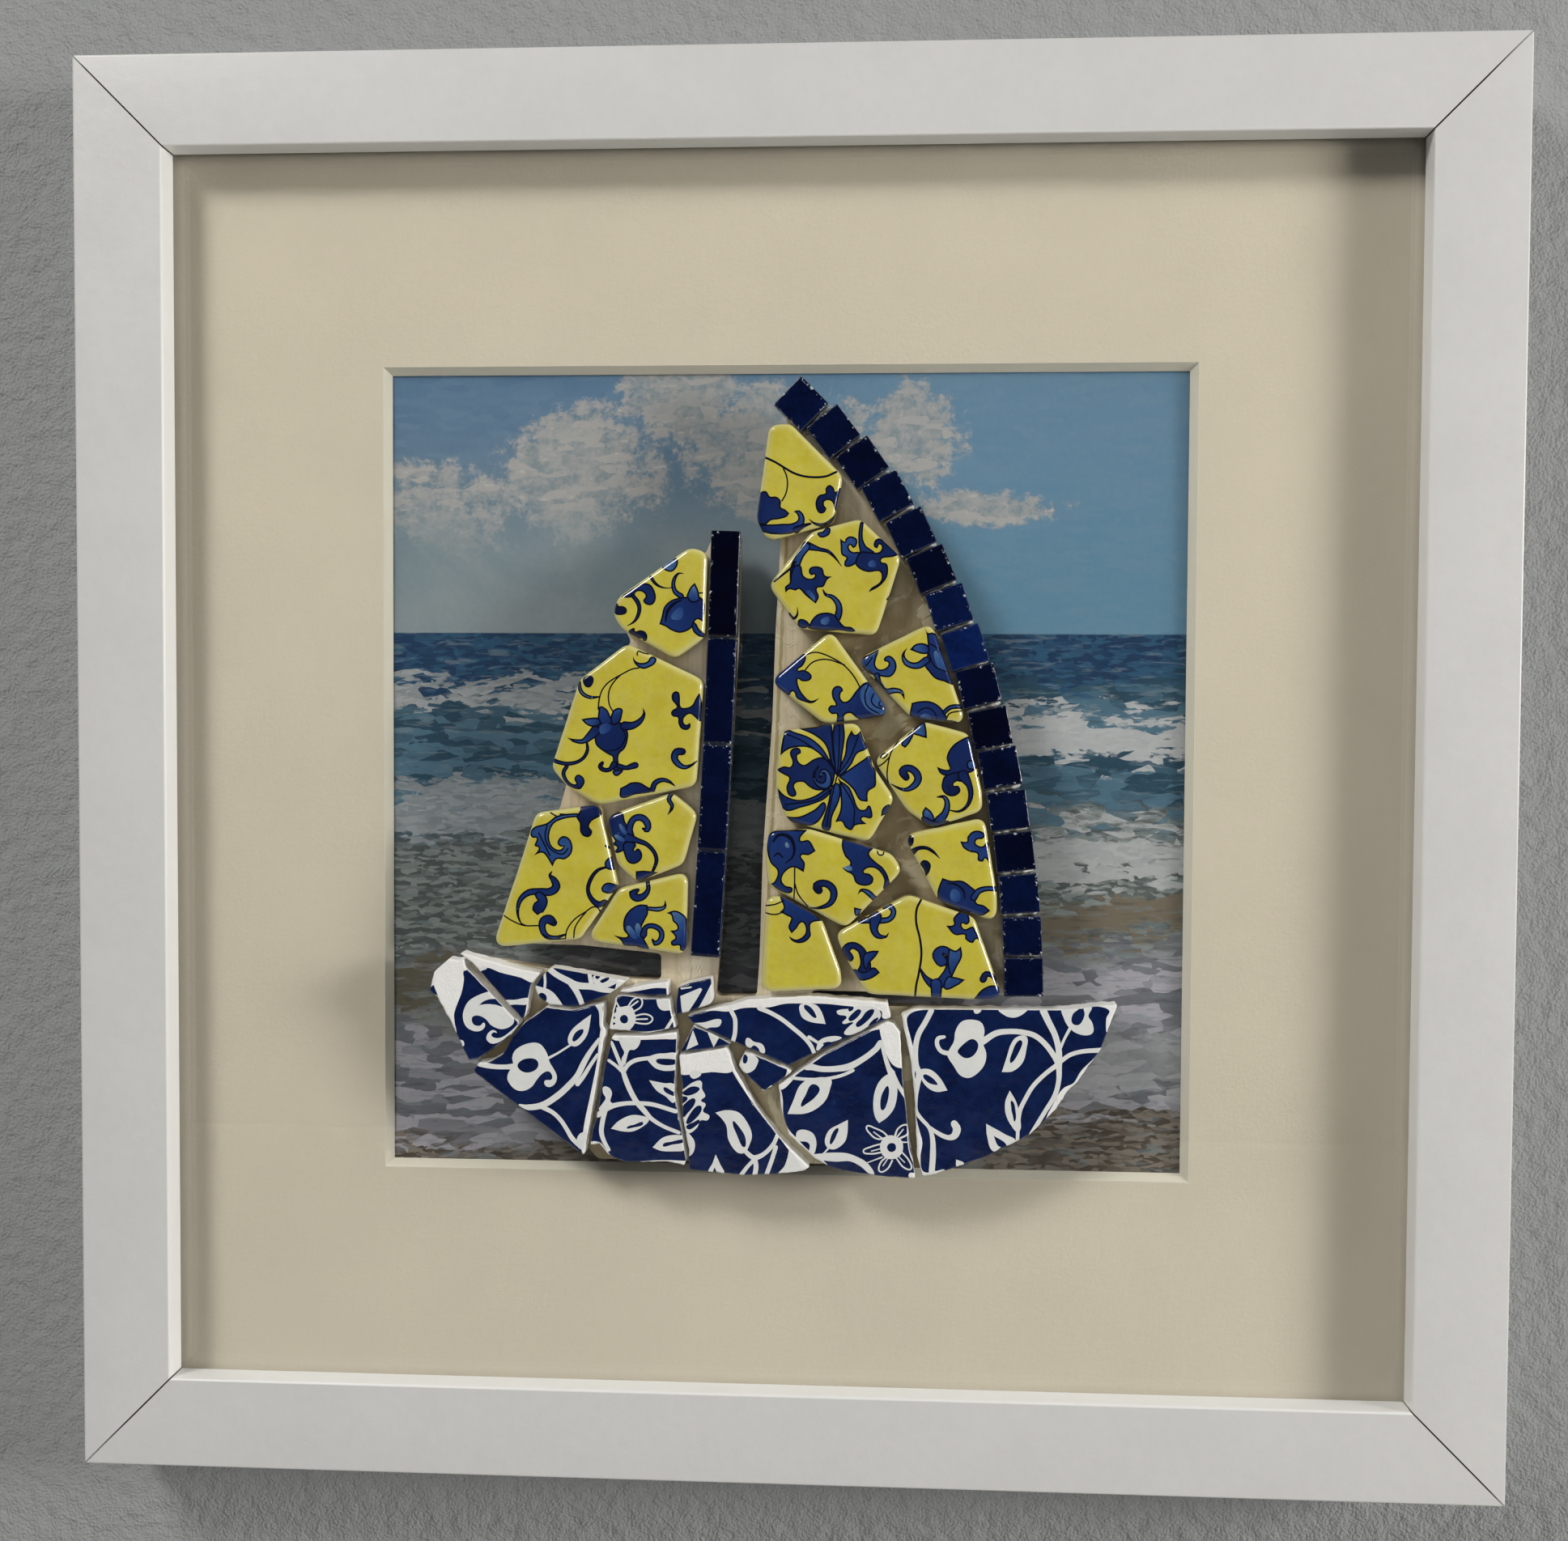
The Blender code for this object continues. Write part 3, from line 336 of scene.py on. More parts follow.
      ("bare", (-114,38,-108,104,-20,110,-13,76,-20,72,-19,58,-23,34,-30,15,-35,2,-38,-10,-37,-24,-36,-48,
        -60,-43,-92,14)),
      ("blue", (-90,34,-77,46,-69,26,-80,30), 0, 0, 1, 2),
      ("white", (30,35,9,28,-10,16,-19,0,-21,-16,-15,-32,-2,-40,12,-40,21,-32,19,-24,12,-30,1,-29,-4,-21,
        -2,-13,9,-11,22,-17,33,-29,51,-36,67,-32,76,-23,74,-10,67,4,62,22,51,38)),
      ("blue", (10,9,20,17,36,21,51,18,62,7,41,10,25,11), 0, 0, 0),
      ("white", (44,-43,37,-38,29,-42,24,-50,25,-58,35,-64,51,-59,67,-47,89,-30,89,-23,73,-37,54,-51,41,-53,
        33,-48,38,-42)),
      ("bare", (-29,-59,-20,-60,-21,-70)),
    ),
    "hull_shard_02": (
      ("bare", (-80,65,-51,66,-24,59,13,44,45,33,82,27,66,8,40,17,2,26,-25,35,-41,27,-51,42,-61,48)),
      ("white", (-40,27,-32,38,-24,34,-32,30)),
      ("white", (5,-28,29,-25,59,-22,54,-33,29,-34,13,-35)),
    ),
    "hull_shard_03": (
      ("whiteline", (-60,35,11,-46,24,11,-25,13,12,-6,4,13,20,2,12,41,-3,11,63,-6,8)),
      ("whiteline", (-18,8,12,-9,-5,11,-1,-21,10,5,-38,9)),
      ("whiteline", (-69,31,5,-67,12,5,-68,-4,5)),
      ("white", (-93,1,-72,-1,-56,-7,-43,-20,-33,-40,-46,-45,-64,-43,-85,-33,-93,-14)),
      ("blue", (-81,-18,-75,-11,-65,-16,-65,-26,-73,-31,-81,-26)),
      ("whiteline", (17,25,7,21,6,9)),
      ("white", (26,23,60,21,73,16,63,6,41,-1,26,8)),
      ("blue", (28,22,37,22,31,16)),
      ("blue", (37,13,53,20,54,16,41,9)),
      ("bare", (72,17,90,17,86,5,68,-7,59,-14,66,0)),
    ),
    "hull_shard_04": (
      ("whiteline", (-120,29,12,-105,24,10,-83,21,9,-62,21,9,-46,22,12)),
      ("white", (-49,23,-51,39,-46,52,-30,63,-9,68,4,64,15,48,20,32,30,15,34,4,30,-10,18,-16,10,-10,12,-3,
        23,-2,25,6,18,14,7,10,-4,-2,-14,-16,-30,-24,-46,-21,-59,-6,-60,5,-54,17)),
      ("blue", (-41,24,-33,34,-20,38,-6,36,-1,27,-6,17,-20,11,-34,14)),
      ("whiteline", (16,38,5,36,49,4,59,64,4)),
      ("white", (99,123,81,110,63,94,55,78,57,66,70,62,84,73,93,89), 0, 0, 0),
      ("blue", (83,95,84,89,76,78,66,71,63,75,70,89)),
      ("whiteline", (114,76,7,97,52,9,85,31,11,73,7,11,55,-14,12,34,-33,12,7,-50,12,-20,-55,11,-37,-51,4)),
      ("whiteline", (111,47,6,97,26,7,84,5,8,73,-9,9)),
      ("whiteline", (6,-54,9,26,-64,8,41,-78,8,52,-94,8,63,-112,9,80,-129,8)),
      ("white", (103,144,128,146,128,126,121,111,117,95,113,129), 0, 0, 0),
      ("blue", (122,142,124,132,121,126)),
      ("bare", (131,153,131,111,125,47,113,-32,101,-98,93,-146,84,-143,81,-133,86,-85,97,-32,110,34,114,74,
        119,110,124,134)),
      ("white", (72,-113,81,-101,92,-104,87,-132,76,-122)),
    ),
    "hull_shard_05": (
      ("bare", (-49,-18,-46,-4,-1,8,55,17,52,-22,-1,-21)),
      ("blue", (-29,-8,-1,-3,21,1,43,1,44,-14,21,-14,-1,-13), 0, 0, 0, 3, 4),
    ),
    "hull_shard_06": (
      ("white", (-48,13,-38,14,-26,16,-18,12,-13,-1,-12,-11,-17,-22,-26,-31,-40,-32,-53,-30,-60,-24,-50,-17,
        -60,-14,-50,-6,-60,-2,-49,4)),
      ("blue", (-42,-9,-39,-3,-32,-1,-27,-6,-27,-13,-31,-17,-38,-16)),
      ("whiteline", (-14,-3,3,2,1,3,14,-1,3,20,-8,3,13,-16,3,-1,-17,3,-14,-15,3)),
      ("whiteline", (-27,14,3,-18,27,3,-7,32,3,0,27,3,-2,15,3,-15,6,3)),
      ("whiteline", (-24,13,3,-8,25,3)),
      ("whiteline", (-12,-9,3,10,-8,3)),
      ("whiteline", (-42,11,3,-50,25,3)),
      ("white", (29,33,58,34,58,13,43,8,34,11,29,19)),
      ("whiteline", (43,-31,6,58,-7,6)),
      ("bare", (-58,34,-48,32,-53,3,-57,-28,-64,-31)),
      ("bare", (55,34,61,13,70,-29,62,-30,58,-10,52,13)),
      ("bare", (-60,-28,2,-32,70,-25,70,-35,2,-38,-63,-34)),
    ),
    "hull_shard_07": (
      ("bare", (-53,118,77,133,78,121,74,114,49,113,9,111,-43,109)),
      ("white", (-34,112,3,113,1,99,-7,92,-16,91,-21,77,-27,62,-31,74,-26,86,-31,97)),
      ("whiteline", (-50,105,6,-43,88,7,-36,71,7,-30,57,8,-23,35,10,-13,12,10,-2,-7,10,12,-23,10,26,-38,8,
        49,-52,7,77,-63,7)),
      ("whiteline", (-55,71,6,-40,60,6,-30,51,7)),
      ("whiteline", (-27,51,8,-19,63,8,-5,72,8,22,77,7)),
      ("white", (18,76,32,84,49,86,74,85,75,59,54,53,35,57,24,66)),
      ("blue", (34,72,49,76,75,73,75,67,49,64)),
      ("white", (21,35,49,30,69,27,69,-6,52,5,35,16), 0, 0, 0),
      ("blue", (48,20,69,12,69,5)),
      ("white", (-51,-58,-36,-43,-13,-32,9,-33,21,-39,12,-51,-8,-62,-27,-63), 0, 0, 0),
      ("blue", (-21,-56,-5,-49,9,-44,9,-50,-8,-55)),
      ("white", (28,-92,46,-74,66,-68,86,-70,91,-82,91,-95,66,-99,43,-98), 0, 0, 0),
      ("blue", (47,-88,66,-80,87,-76,88,-81,66,-86)),
      ("white", (-65,21,-54,19,-49,9,-52,-7,-44,-12,-47,-20,-67,-25,-74,-22,-67,-11,-61,0,-66,9)),
      ("whiteline", (-76,-33,10,-53,-17,10,-25,-10,8,1,-9,8,29,-11,8,71,-23,8)),
      ("whiteline", (-62,-24,9,-67,-45,9,-69,-65,9,-64,-82,8,-55,-98,7)),
      ("bare", (-93,-87,-73,-84,-61,-96,-47,-112,-19,-120,38,-116,72,-116,97,-120,94,-133,-93,-137)),
    ),
    "hull_shard_08": (
      ("white", (-26,1,11,17,15,14,-14,-34,-21,-34), 0, 0, 0, 1, 3),
      ("white", (35,31,39,7,36,-20,25,-17,3,-29,16,-7), 0, 0, 0, 4),
      ("whiteline", (-24,15,3,-6,18,3)),
    ),
    "hull_shard_09": (
      ("white", (-24,18,-14,-9,-37,-20), 0, 0, 0, 1, 2),
      ("white", (2,17,26,6,15,-14), 0, 0, 0, 1, 2),
    ),
    "hull_shard_10": (
      ("bare", (-214,64,-176,36,-138,36,-113,35,-83,42,-37,44,-7,51,28,52,68,52,103,49,138,46,163,43,173,39,
        175,27,190,27,192,55,185,62,163,62,113,68,38,72,-38,66,-113,70)),
      ("whiteline", (-108,36,8,-101,22,8,-100,7,8,-101,-8,8,-105,-23,8)),
      ("whiteline", (-55,42,9,-35,34,8,-12,21,8,10,4,8,28,-11,8,41,-26,8,48,-41,7)),
      ("whiteline", (38,-11,7,53,-20,5,61,-25,4)),
      ("white", (20,48,28,52,50,50,61,37,69,14,43,17,27,24,21,34), 0, 0, 4),
      ("blue", (28,48,41,45,52,27,48,25,38,33)),
      ("white", (89,38,98,42,109,43,125,48,163,46,171,29,148,11,128,-2,108,-6,103,-2,113,11,120,18,100,16,
        108,28,93,32)),
      ("blue", (111,45,121,46,113,38)),
      ("blue", (111,25,120,36,130,43,135,39,125,25,114,20)),
      ("blue", (136,27,145,39,158,43,157,34,143,18,128,9,125,15)),
      ("blue", (148,11,158,24,167,28,167,25,155,13)),
      ("white", (53,-26,56,-18,68,-11,88,-8,99,-12,68,-23,63,-28,53,-36)),
      ("blue", (63,-23,73,-19,79,-20,66,-25)),
      ("white", (-80,-16,-75,-14,-65,-21,-52,-24,-46,-30,-45,-42,-53,-41,-56,-34,-65,-28,-72,-33,-80,-28)),
      ("white", (-186,-7,-183,9,-158,14,-128,20,-130,7,-148,4,-171,-5)),
    ),
    "hull_shard_11": (
      ("white", (-51,10,-46,28,-40,37,-27,36,-13,26,-13,20,-21,5,-37,-1), 0, 0, 0),
      ("blue", (-39,34,-33,30,-35,18,-41,18)),
      ("bare", (42,13,55,13,51,-1,32,-21,21,-22,37,-7,41,4)),
      ("bare", (-7,-36,15,-27,12,-23,0,-33,-5,-30)),
    ),
    "hull_shard_12": (
      ("bare", (-129,109,-84,116,-28,128,-19,80,-64,74,-95,70,-120,69,-129,81)),
      ("white", (-102,72,-81,73,-95,61)),
      ("white", (-123,30,-109,45,-95,55,-81,57,-79,42,-75,35,-73,28,-81,20,-72,14,-77,0,-65,-8,-69,-17,
        -81,-17,-89,-32,-106,-42,-114,-27,-123,-21,-120,8,-106,25)),
      ("blue", (-119,33,-100,46,-84,44,-88,36,-106,29), 0, 0, 0),
      ("blue", (-119,2,-106,19,-93,24,-93,13,-106,-4,-116,-12)),
      ("blue", (-109,-21,-100,-3,-88,10,-80,9,-82,-3,-95,-18,-106,-25)),
      ("blue", (-109,-29,-95,-21,-83,-17,-92,-29,-104,-35)),
      ("white", (-54,-2,-33,3,-10,-1,7,-21,15,-43,10,-63,1,-77,-13,-76,-29,-53,-33,-27,-42,-13), 0, 0, 0),
      ("blue", (-21,-18,-10,-27,2,-46,3,-65,-3,-65,-13,-44)),
      ("whiteline", (1,-72,8,13,-83,9,21,-86,10,38,-78,8,55,-60,8,63,-42,7)),
      ("whiteline", (20,-86,10,23,-103,9,20,-122,9)),
      ("whiteline", (21,-88,7,7,-103,7,-7,-122,8)),
      ("whiteline", (60,-65,8,52,-91,8,41,-122,8)),
      ("white", (-53,-81,-45,-98,-38,-119,-66,-119,-58,-96), 0, 0, 0),
      ("blue", (-55,-105,-51,-118,-58,-118), 0, 0, 0),
      ("white", (-109,-42,-96,-51,-92,-65,-97,-81,-109,-86)),
      ("white", (85,-65,102,-84,125,-102,114,-112,66,-117,76,-101,82,-84), 0, 0, 0),
      ("bare", (-25,83,-18,83,6,41,46,-15,91,-67,128,-103,117,-111,102,-92,86,-72,43,-18,2,38)),
    ),
    "hull_shard_13": (
      ("bare", (60,139,69,154,82,154,104,127,111,107,112,64,97,61,86,66,79,74,71,91,64,113)),
      ("bare", (-136,24,-116,40,-71,68,-21,100,29,125,71,149,74,135,54,132,14,120,-21,102,-46,81,-71,62,
        -96,44,-103,33,-123,16)),
      ("white", (-81,57,-71,66,-48,62,-21,63,4,69,29,83,49,99,62,113,62,99,49,85,29,70,5,56,-20,52,-45,51,
        -66,54)),
      ("whiteline", (-103,39,6,-80,37,6,-55,37,6,-30,40,6,-8,46,6,11,55,6)),
      ("bare", (-132,25,-124,16,-120,-3,-119,-28,-113,-51,-103,-65,-90,-78,-72,-96,-44,-115,-37,-126,-60,-118,
        -80,-101,-100,-84,-120,-69,-135,-46,-141,-3)),
      ("white", (-111,-29,-100,-3,-88,25,-68,38,-31,38,-32,19,-40,-2,-58,-19,-80,-28), 0, 0, 0),
      ("blue", (-86,-14,-77,8,-68,26,-58,27,-51,18,-60,3,-75,-9)),
      ("white", (76,49,60,35,51,13,49,-13,53,-33,60,-43,76,-31,88,-14,93,8,93,28,87,47), 0, 0, 5),
      ("blue", (76,27,78,13,73,-10,66,-19,62,-10,64,8,71,23)),
      ("whiteline", (64,108,7,69,86,7,77,61,9,83,50,14)),
      ("whiteline", (83,51,11,95,29,8,110,6,7,117,-4,6)),
      ("white", (2,-38,-15,-47,-32,-57,-40,-72,-40,-85,-33,-93,-20,-93,-4,-80,1,-64), 0, 0, 0),
      ("blue", (-16,-54,-19,-67,-26,-81,-31,-85,-30,-72,-24,-59)),
      ("whiteline", (-33,-91,4,-40,-99,3,-47,-106,3)),
      ("white", (-95,-70,-92,-61,-80,-58,-64,-64,-57,-78,-58,-95,-64,-106,-70,-99,-69,-87,-75,-81,-87,-80,
        -94,-76)),
      ("white", (-65,-109,-45,-102,-20,-100,1,-101,21,-108,38,-118,52,-139,43,-139,26,-125,6,-116,-19,-117,
        -44,-115)),
      ("white", (62,-88,67,-73,78,-66,90,-67,102,-75,105,-88,102,-100,91,-109,78,-110,67,-103)),
      ("blue", (75,-88,78,-82,84,-80,90,-82,92,-89,90,-94,84,-97,78,-95)),
      ("whiteline", (72,-71,4,58,-73,3,46,-66,3,37,-50,3,53,-53,3,68,-60,3,78,-70,4)),
      ("whiteline", (50,-60,2,68,-73,3)),
      ("whiteline", (89,-70,4,96,-52,3,112,-46,3,113,-62,3,99,-71,4)),
      ("whiteline", (105,-54,2,94,-68,3)),
      ("whiteline", (64,-82,3,45,-88,3,31,-97,3,46,-101,3,64,-98,3)),
      ("whiteline", (46,-96,2,63,-91,2)),
      ("whiteline", (76,-105,3,63,-118,3,62,-134,3,76,-129,3,85,-113,3)),
      ("whiteline", (68,-123,2,77,-109,2)),
      ("whiteline", (93,-109,3,106,-125,3,120,-128,3,116,-112,3,103,-97,3)),
      ("whiteline", (108,-116,2,97,-105,2)),
      ("whiteline", (102,-78,3,114,-78,2)),
      ("whiteline", (66,-107,3,51,-113,2,36,-119,2)),
      ("bare", (117,-136,129,-137,141,-144,138,-149,118,-147)),
      ("whiteline", (113,-49,2,114,-74,2,118,-99,2,128,-124,2)),
    ),
    "hull_shard_14": (
      ("bare", (-208,136,-203,150,-177,154,-148,155,-105,155,-48,155,9,156,66,156,123,159,160,164,205,168,
        202,153,181,113,178,113,178,139,183,153,157,160,137,156,97,152,66,151,9,151,-77,150,-148,149,-174,146,
        -188,136,-189,124,-182,96,-175,70,-173,46,-174,29,-171,6,-173,-29,-170,-55,-165,-75,-159,-99,
        -162,-128,-156,-154,-131,-152,-117,-150,-120,-165,-160,-168,-183,-151,-196,-41,-202,75)),
      ("whiteline", (-144,148,10,-155,126,10,-168,102,10,-173,75,10,-172,46,11,-166,29,11,-170,6,11,
        -173,-17,10,-171,-41,8,-161,-55,7,-146,-72,7,-140,-92,9,-139,-121,11,-141,-156,11)),
      ("whiteline", (-145,-71,6,-129,-82,8,-112,-89,9,-100,-86,13,-95,-73,15,-100,-63,13)),
      ("white", (-165,35,-156,39,-142,36,-126,21,-113,-1,-133,-4,-149,3,-161,18), 0, 0, 4),
      ("blue", (-158,27,-144,24,-131,10,-136,9,-150,14)),
      ("white", (-110,76,-102,91,-99,111,-88,128,-71,132,-53,128,-46,115,-47,98,-48,88,-42,69,-45,49,-58,32,
        -74,23,-90,28,-102,45,-114,65)),
      ("blue", (-95,73,-82,88,-68,96,-58,89,-58,77,-67,64,-80,60,-92,67)),
      ("whiteline", (-110,68,9,-125,72,8,-133,85,8,-131,96,8,-120,99,6)),
      ("whiteline", (-49,91,12,-25,107,11,-2,111,10,24,110,10,47,104,10,67,88,10,84,65,10,92,51,12)),
      ("whiteline", (62,151,13,72,130,12,84,106,11,91,80,11,92,54,12)),
      ("whiteline", (93,55,8,112,69,8,135,76,8,169,79,9)),
      ("whiteline", (94,80,5,102,100,5,113,121,6)),
      ("whiteline", (90,51,9,67,33,8,45,10,8,31,-14,8,21,-37,8,18,-66,7,17,-95,6)),
      ("whiteline", (92,51,11,92,22,9,85,-7,9,68,-36,8,54,-60,8,43,-80,9)),
      ("white", (97,156,100,137,109,121,123,110,142,106,154,112,152,130,145,142,151,160,137,160,138,144,
        130,127,120,125,114,132,117,146,127,157)),
      ("white", (32,102,14,101,3,87,-4,64,-13,35,7,37,25,53,32,79), 0, 0, 4),
      ("blue", (22,95,24,87,10,58,2,53,6,73,14,91)),
      ("white", (2,1,-6,-20,-5,-43,5,-64,19,-76,22,-52,14,-20), 0, 0, 0),
      ("blue", (6,-18,13,-37,12,-57,8,-46,5,-32)),
      ("white", (-41,-62,-39,-85,-28,-113,-11,-104,14,-95,-6,-81), 0, 0, 0),
      ("blue", (-27,-84,-3,-101,-17,-104), 0, 0, 0),
      ("white", (-20,153,-7,140,9,137,24,143,33,154)),
      ("white", (-65,152,-52,151,-57,144,-64,144)),
      ("white", (-96,-130,-81,-138,-94,-144), 0, 0, 0),
      ("bare", (82,-24,90,-7,102,8,119,17,133,40,161,69,175,90,180,110,191,110,161,46,119,-1,102,-12,79,-48,
        71,-54,72,-43)),
    ),
}


# Sizes and colours

def length(name, description, default, low, high):
    return bpy.props.FloatProperty(name=name, description=description, default=default, min=low, max=high,
                                   unit="LENGTH")


def tint(name, description, default):
    return bpy.props.FloatVectorProperty(name=name, description=description, default=default, size=3, min=0,
                                         max=1, subtype="COLOR")


class FrameSettings(bpy.types.PropertyGroup):
    rail_face: length("Rail Face", "Width of a rail seen from the front", 0.0172, 0.008, 0.03)
    rebate: length("Rebate", "How far the rebate cuts outwards behind the lip", 0.005, 0.001, 0.012)
    edge_round: length("Edge Round", "Radius of the rails' front edges", 0.00045, 0.0002, 0.003)
    lacquer: tint("Lacquer", "Colour of the painted rails", (0.745, 0.735, 0.715))
    card: tint("Card", "Colour of the mat", (0.525, 0.468, 0.372))


class GlazeSettings(bpy.types.PropertyGroup):
    yellow: tint("Yellow", "Ground colour of the sails", (0.665, 0.585, 0.036))
    cobalt: tint("Cobalt", "Ground colour of the hull", (0.0015, 0.0085, 0.066))
    white: tint("White", "Flowers and vines of the hull", (0.87, 0.87, 0.83))
    ink_line: length("Ink Line", "Width of the dark line round a painted leaf", 0.00032, 0.0001, 0.001)
    pillow_width: length("Pillow Width", "Width of a sail shard's rounded edge", 0.0010, 0.0003, 0.002)
    pillow_depth: length("Pillow Depth", "Depth of a sail shard's rounded edge", 0.0009, 0.0002, 0.002)


class TileSettings(bpy.types.PropertyGroup):
    edge_round: length("Edge Round", "Radius of a glass tile's edges", 0.00022, 0.0001, 0.001)
    chip_depth: length("Chip Depth", "Depth of the small chips along the edges", 0.00014, 0, 0.001)
    extra_length: length("Extra Length", "How far a glass tile reaches into its joints", 0.00035, 0, 0.0008)
    seed: bpy.props.IntProperty(name="Seed", description="Pattern of the chips", default=7, min=0)


# Node helpers

class Value:
    """A socket of a node tree that takes part in sums as a number does."""

    def __init__(self, tree, socket):
        self.tree, self.socket = tree, socket

    def __abs__(self):
        return calc("ABSOLUTE", self)

    def __add__(self, other):
        return calc("ADD", self, other)

    def __sub__(self, other):
        return calc("SUBTRACT", self, other)

    def __rsub__(self, other):
        return calc("SUBTRACT", other, self)

    def __mul__(self, other):
        return calc("MULTIPLY", self, other)

    def __truediv__(self, other):
        return calc("DIVIDE", self, other)

    def __pow__(self, power):
        return calc("POWER", self, power)


def wire(tree, value, socket):
    """Links a socket to a value of the tree, or sets it to a plain one."""
    if isinstance(value, Value):
        tree.links.new(value.socket, socket)
    elif socket.type == "RGBA":
        socket.default_value = (*value[:3], 1.0)
    else:
        socket.default_value = value


def add_node(tree, kind, links=None, **settings):
    """Adds a node; links holds plain values or values of the tree for its inputs."""
    node = tree.nodes.new(kind)
    for name, value in settings.items():
        setattr(node, name, value)
    for key, value in (links or {}).items():
        wire(tree, value, node.inputs[key])
    return node


def made(tree, kind, links=None, output=0, **settings):
    """The value that a new node gives."""
    return Value(tree, add_node(tree, kind, links, **settings).outputs[output])


def parts(value, kind="ShaderNodeSeparateXYZ"):
    """The three parts of a vector or a colour."""
    node = add_node(value.tree, kind, {0: value})
    return [Value(value.tree, socket) for socket in node.outputs]


def calc(operation, *values):
    tree = next(value.tree for value in values if isinstance(value, Value))
    return made(tree, "ShaderNodeMath", dict(enumerate(values)), operation=operation)


def most(first, second):
    return calc("MAXIMUM", first, second)


def blended(share, first, second):
    """A colour that goes from the first to the second as the share goes from 0 to 1."""
    return made(share.tree, "ShaderNodeMix", {0: share, 6: first, 7: second}, 2, data_type="RGBA")


def shade_of(colour, factor):
    return tuple(part * factor for part in colour)


def stretched(value, low, high, to_low=0.0, to_high=1.0, smooth=True):
    return made(value.tree, "ShaderNodeMapRange", {0: value, 1: low, 2: high, 3: to_low, 4: to_high},
                interpolation_type="SMOOTHSTEP" if smooth else "LINEAR")


def object_place(tree):
    return made(tree, "ShaderNodeTexCoord", None, "Object")


def cloud(place, scale, detail=3.0, roughness=0.55, distortion=0.0):
    return made(place.tree, "ShaderNodeTexNoise", {
        "Vector": place, "Scale": scale, "Detail": detail, "Roughness": roughness, "Distortion": distortion})


def scaled(place, factors, shift=(0, 0, 0)):
    return made(place.tree, "ShaderNodeMapping", {"Vector": place, "Scale": factors, "Location": shift})


def bumped(height, distance):
    return made(height.tree, "ShaderNodeBump", {"Strength": 1.0, "Distance": distance, "Height": height})


def vector_math(operation, *values):
    tree = next(value.tree for value in values if isinstance(value, Value))
    links = {0: values[0], "Scale": values[1]} if operation == "SCALE" else dict(enumerate(values))
    return made(tree, "ShaderNodeVectorMath", links, operation=operation)


def open_group(tree, inputs, outputs):
    """Gives a group its sockets. Returns its inputs as values, and its output node."""
    for label, (kind, default) in inputs.items():
        socket = tree.interface.new_socket(label, in_out="INPUT", socket_type="NodeSocket" + kind)
        if default is not None:
            socket.default_value = default
    for label, kind in outputs.items():
        tree.interface.new_socket(label, in_out="OUTPUT", socket_type="NodeSocket" + kind)
    values = [Value(tree, socket) for socket in tree.nodes.new("NodeGroupInput").outputs]
    return values[:len(inputs)], tree.nodes.new("NodeGroupOutput")


def new_group(name, inputs, **outputs):
    """A shader group with number inputs. Returns its place, its inputs as values and its output node."""
    tree = bpy.data.node_groups.new(name, "ShaderNodeTree")
    numbers = {label: ("Float", value) for label, value in inputs.items()}
    return object_place(tree), *open_group(tree, numbers, outputs)


def mottle_group():
    """Soft cloudy change at two sizes, from 0 to 1."""
    place, (scale, contrast, fineness), out = new_group(
        "Mottle", {"Scale": 200.0, "Contrast": 0.5, "Fineness": 5.0}, Value="Float")
    both = cloud(place, scale * fineness, 2.0, 0.5) * 0.35 + cloud(place, scale, 3.0, 0.5) * 0.65
    spread = contrast * 0.25
    wire(place.tree, stretched(both, 0.5 - spread, spread + 0.5), out.inputs["Value"])
    return place.tree


def relief_group():
    """Fine bump from two sizes of noise."""
    place, (scale, depth, grit), out = new_group(
        "Fine Relief", {"Scale": 800.0, "Depth": 0.00005, "Grit": 0.3}, Normal="Vector", Height="Float")
    height = cloud(place, scale * 6.0, 2.0, 0.5) * grit + cloud(place, scale, 2.0, 0.5)
    wire(place.tree, bumped(height, depth), out.inputs["Normal"])
    wire(place.tree, height, out.inputs["Height"])
    return place.tree


def dust_group():
    """Specks of dust and wear, as a mask."""
    place, (scale, amount), out = new_group("Dust", {"Scale": 900.0, "Amount": 0.3}, Mask="Float")
    edge = 0.75 - amount * 0.3
    wire(place.tree, stretched(cloud(place, scale, 4.0, 0.7), edge, edge + 0.06), out.inputs["Mask"])
    return place.tree


def placed(tree, name, make, links, output=0):
    """Places one of the shared groups in a material with its own values."""
    return made(tree, "ShaderNodeGroup", links, output, node_tree=bpy.data.node_groups.get(name) or make())


def mottle(tree, scale, contrast, fineness):
    return placed(tree, "Mottle", mottle_group, {"Scale": scale, "Contrast": contrast, "Fineness": fineness})


def relief(tree, scale, depth, grit, output=0):
    return placed(tree, "Fine Relief", relief_group, {"Scale": scale, "Depth": depth, "Grit": grit}, output)


def dust(tree, scale, amount):
    return placed(tree, "Dust", dust_group, {"Scale": scale, "Amount": amount})


def new_material(name):
    """A material with a Principled shader, and the places of its points."""
    finish = bpy.data.materials.new(name)
    finish.use_nodes = True
    return finish, finish.node_tree, object_place(finish.node_tree)


def feed(finish, **values):
    """Sets the shader's sockets, with underscores for spaces, and returns the material."""
    for label, value in values.items():
        shader = finish.node_tree.nodes["Principled BSDF"]
        wire(finish.node_tree, value, shader.inputs[label.replace("_", " ")])
    return finish


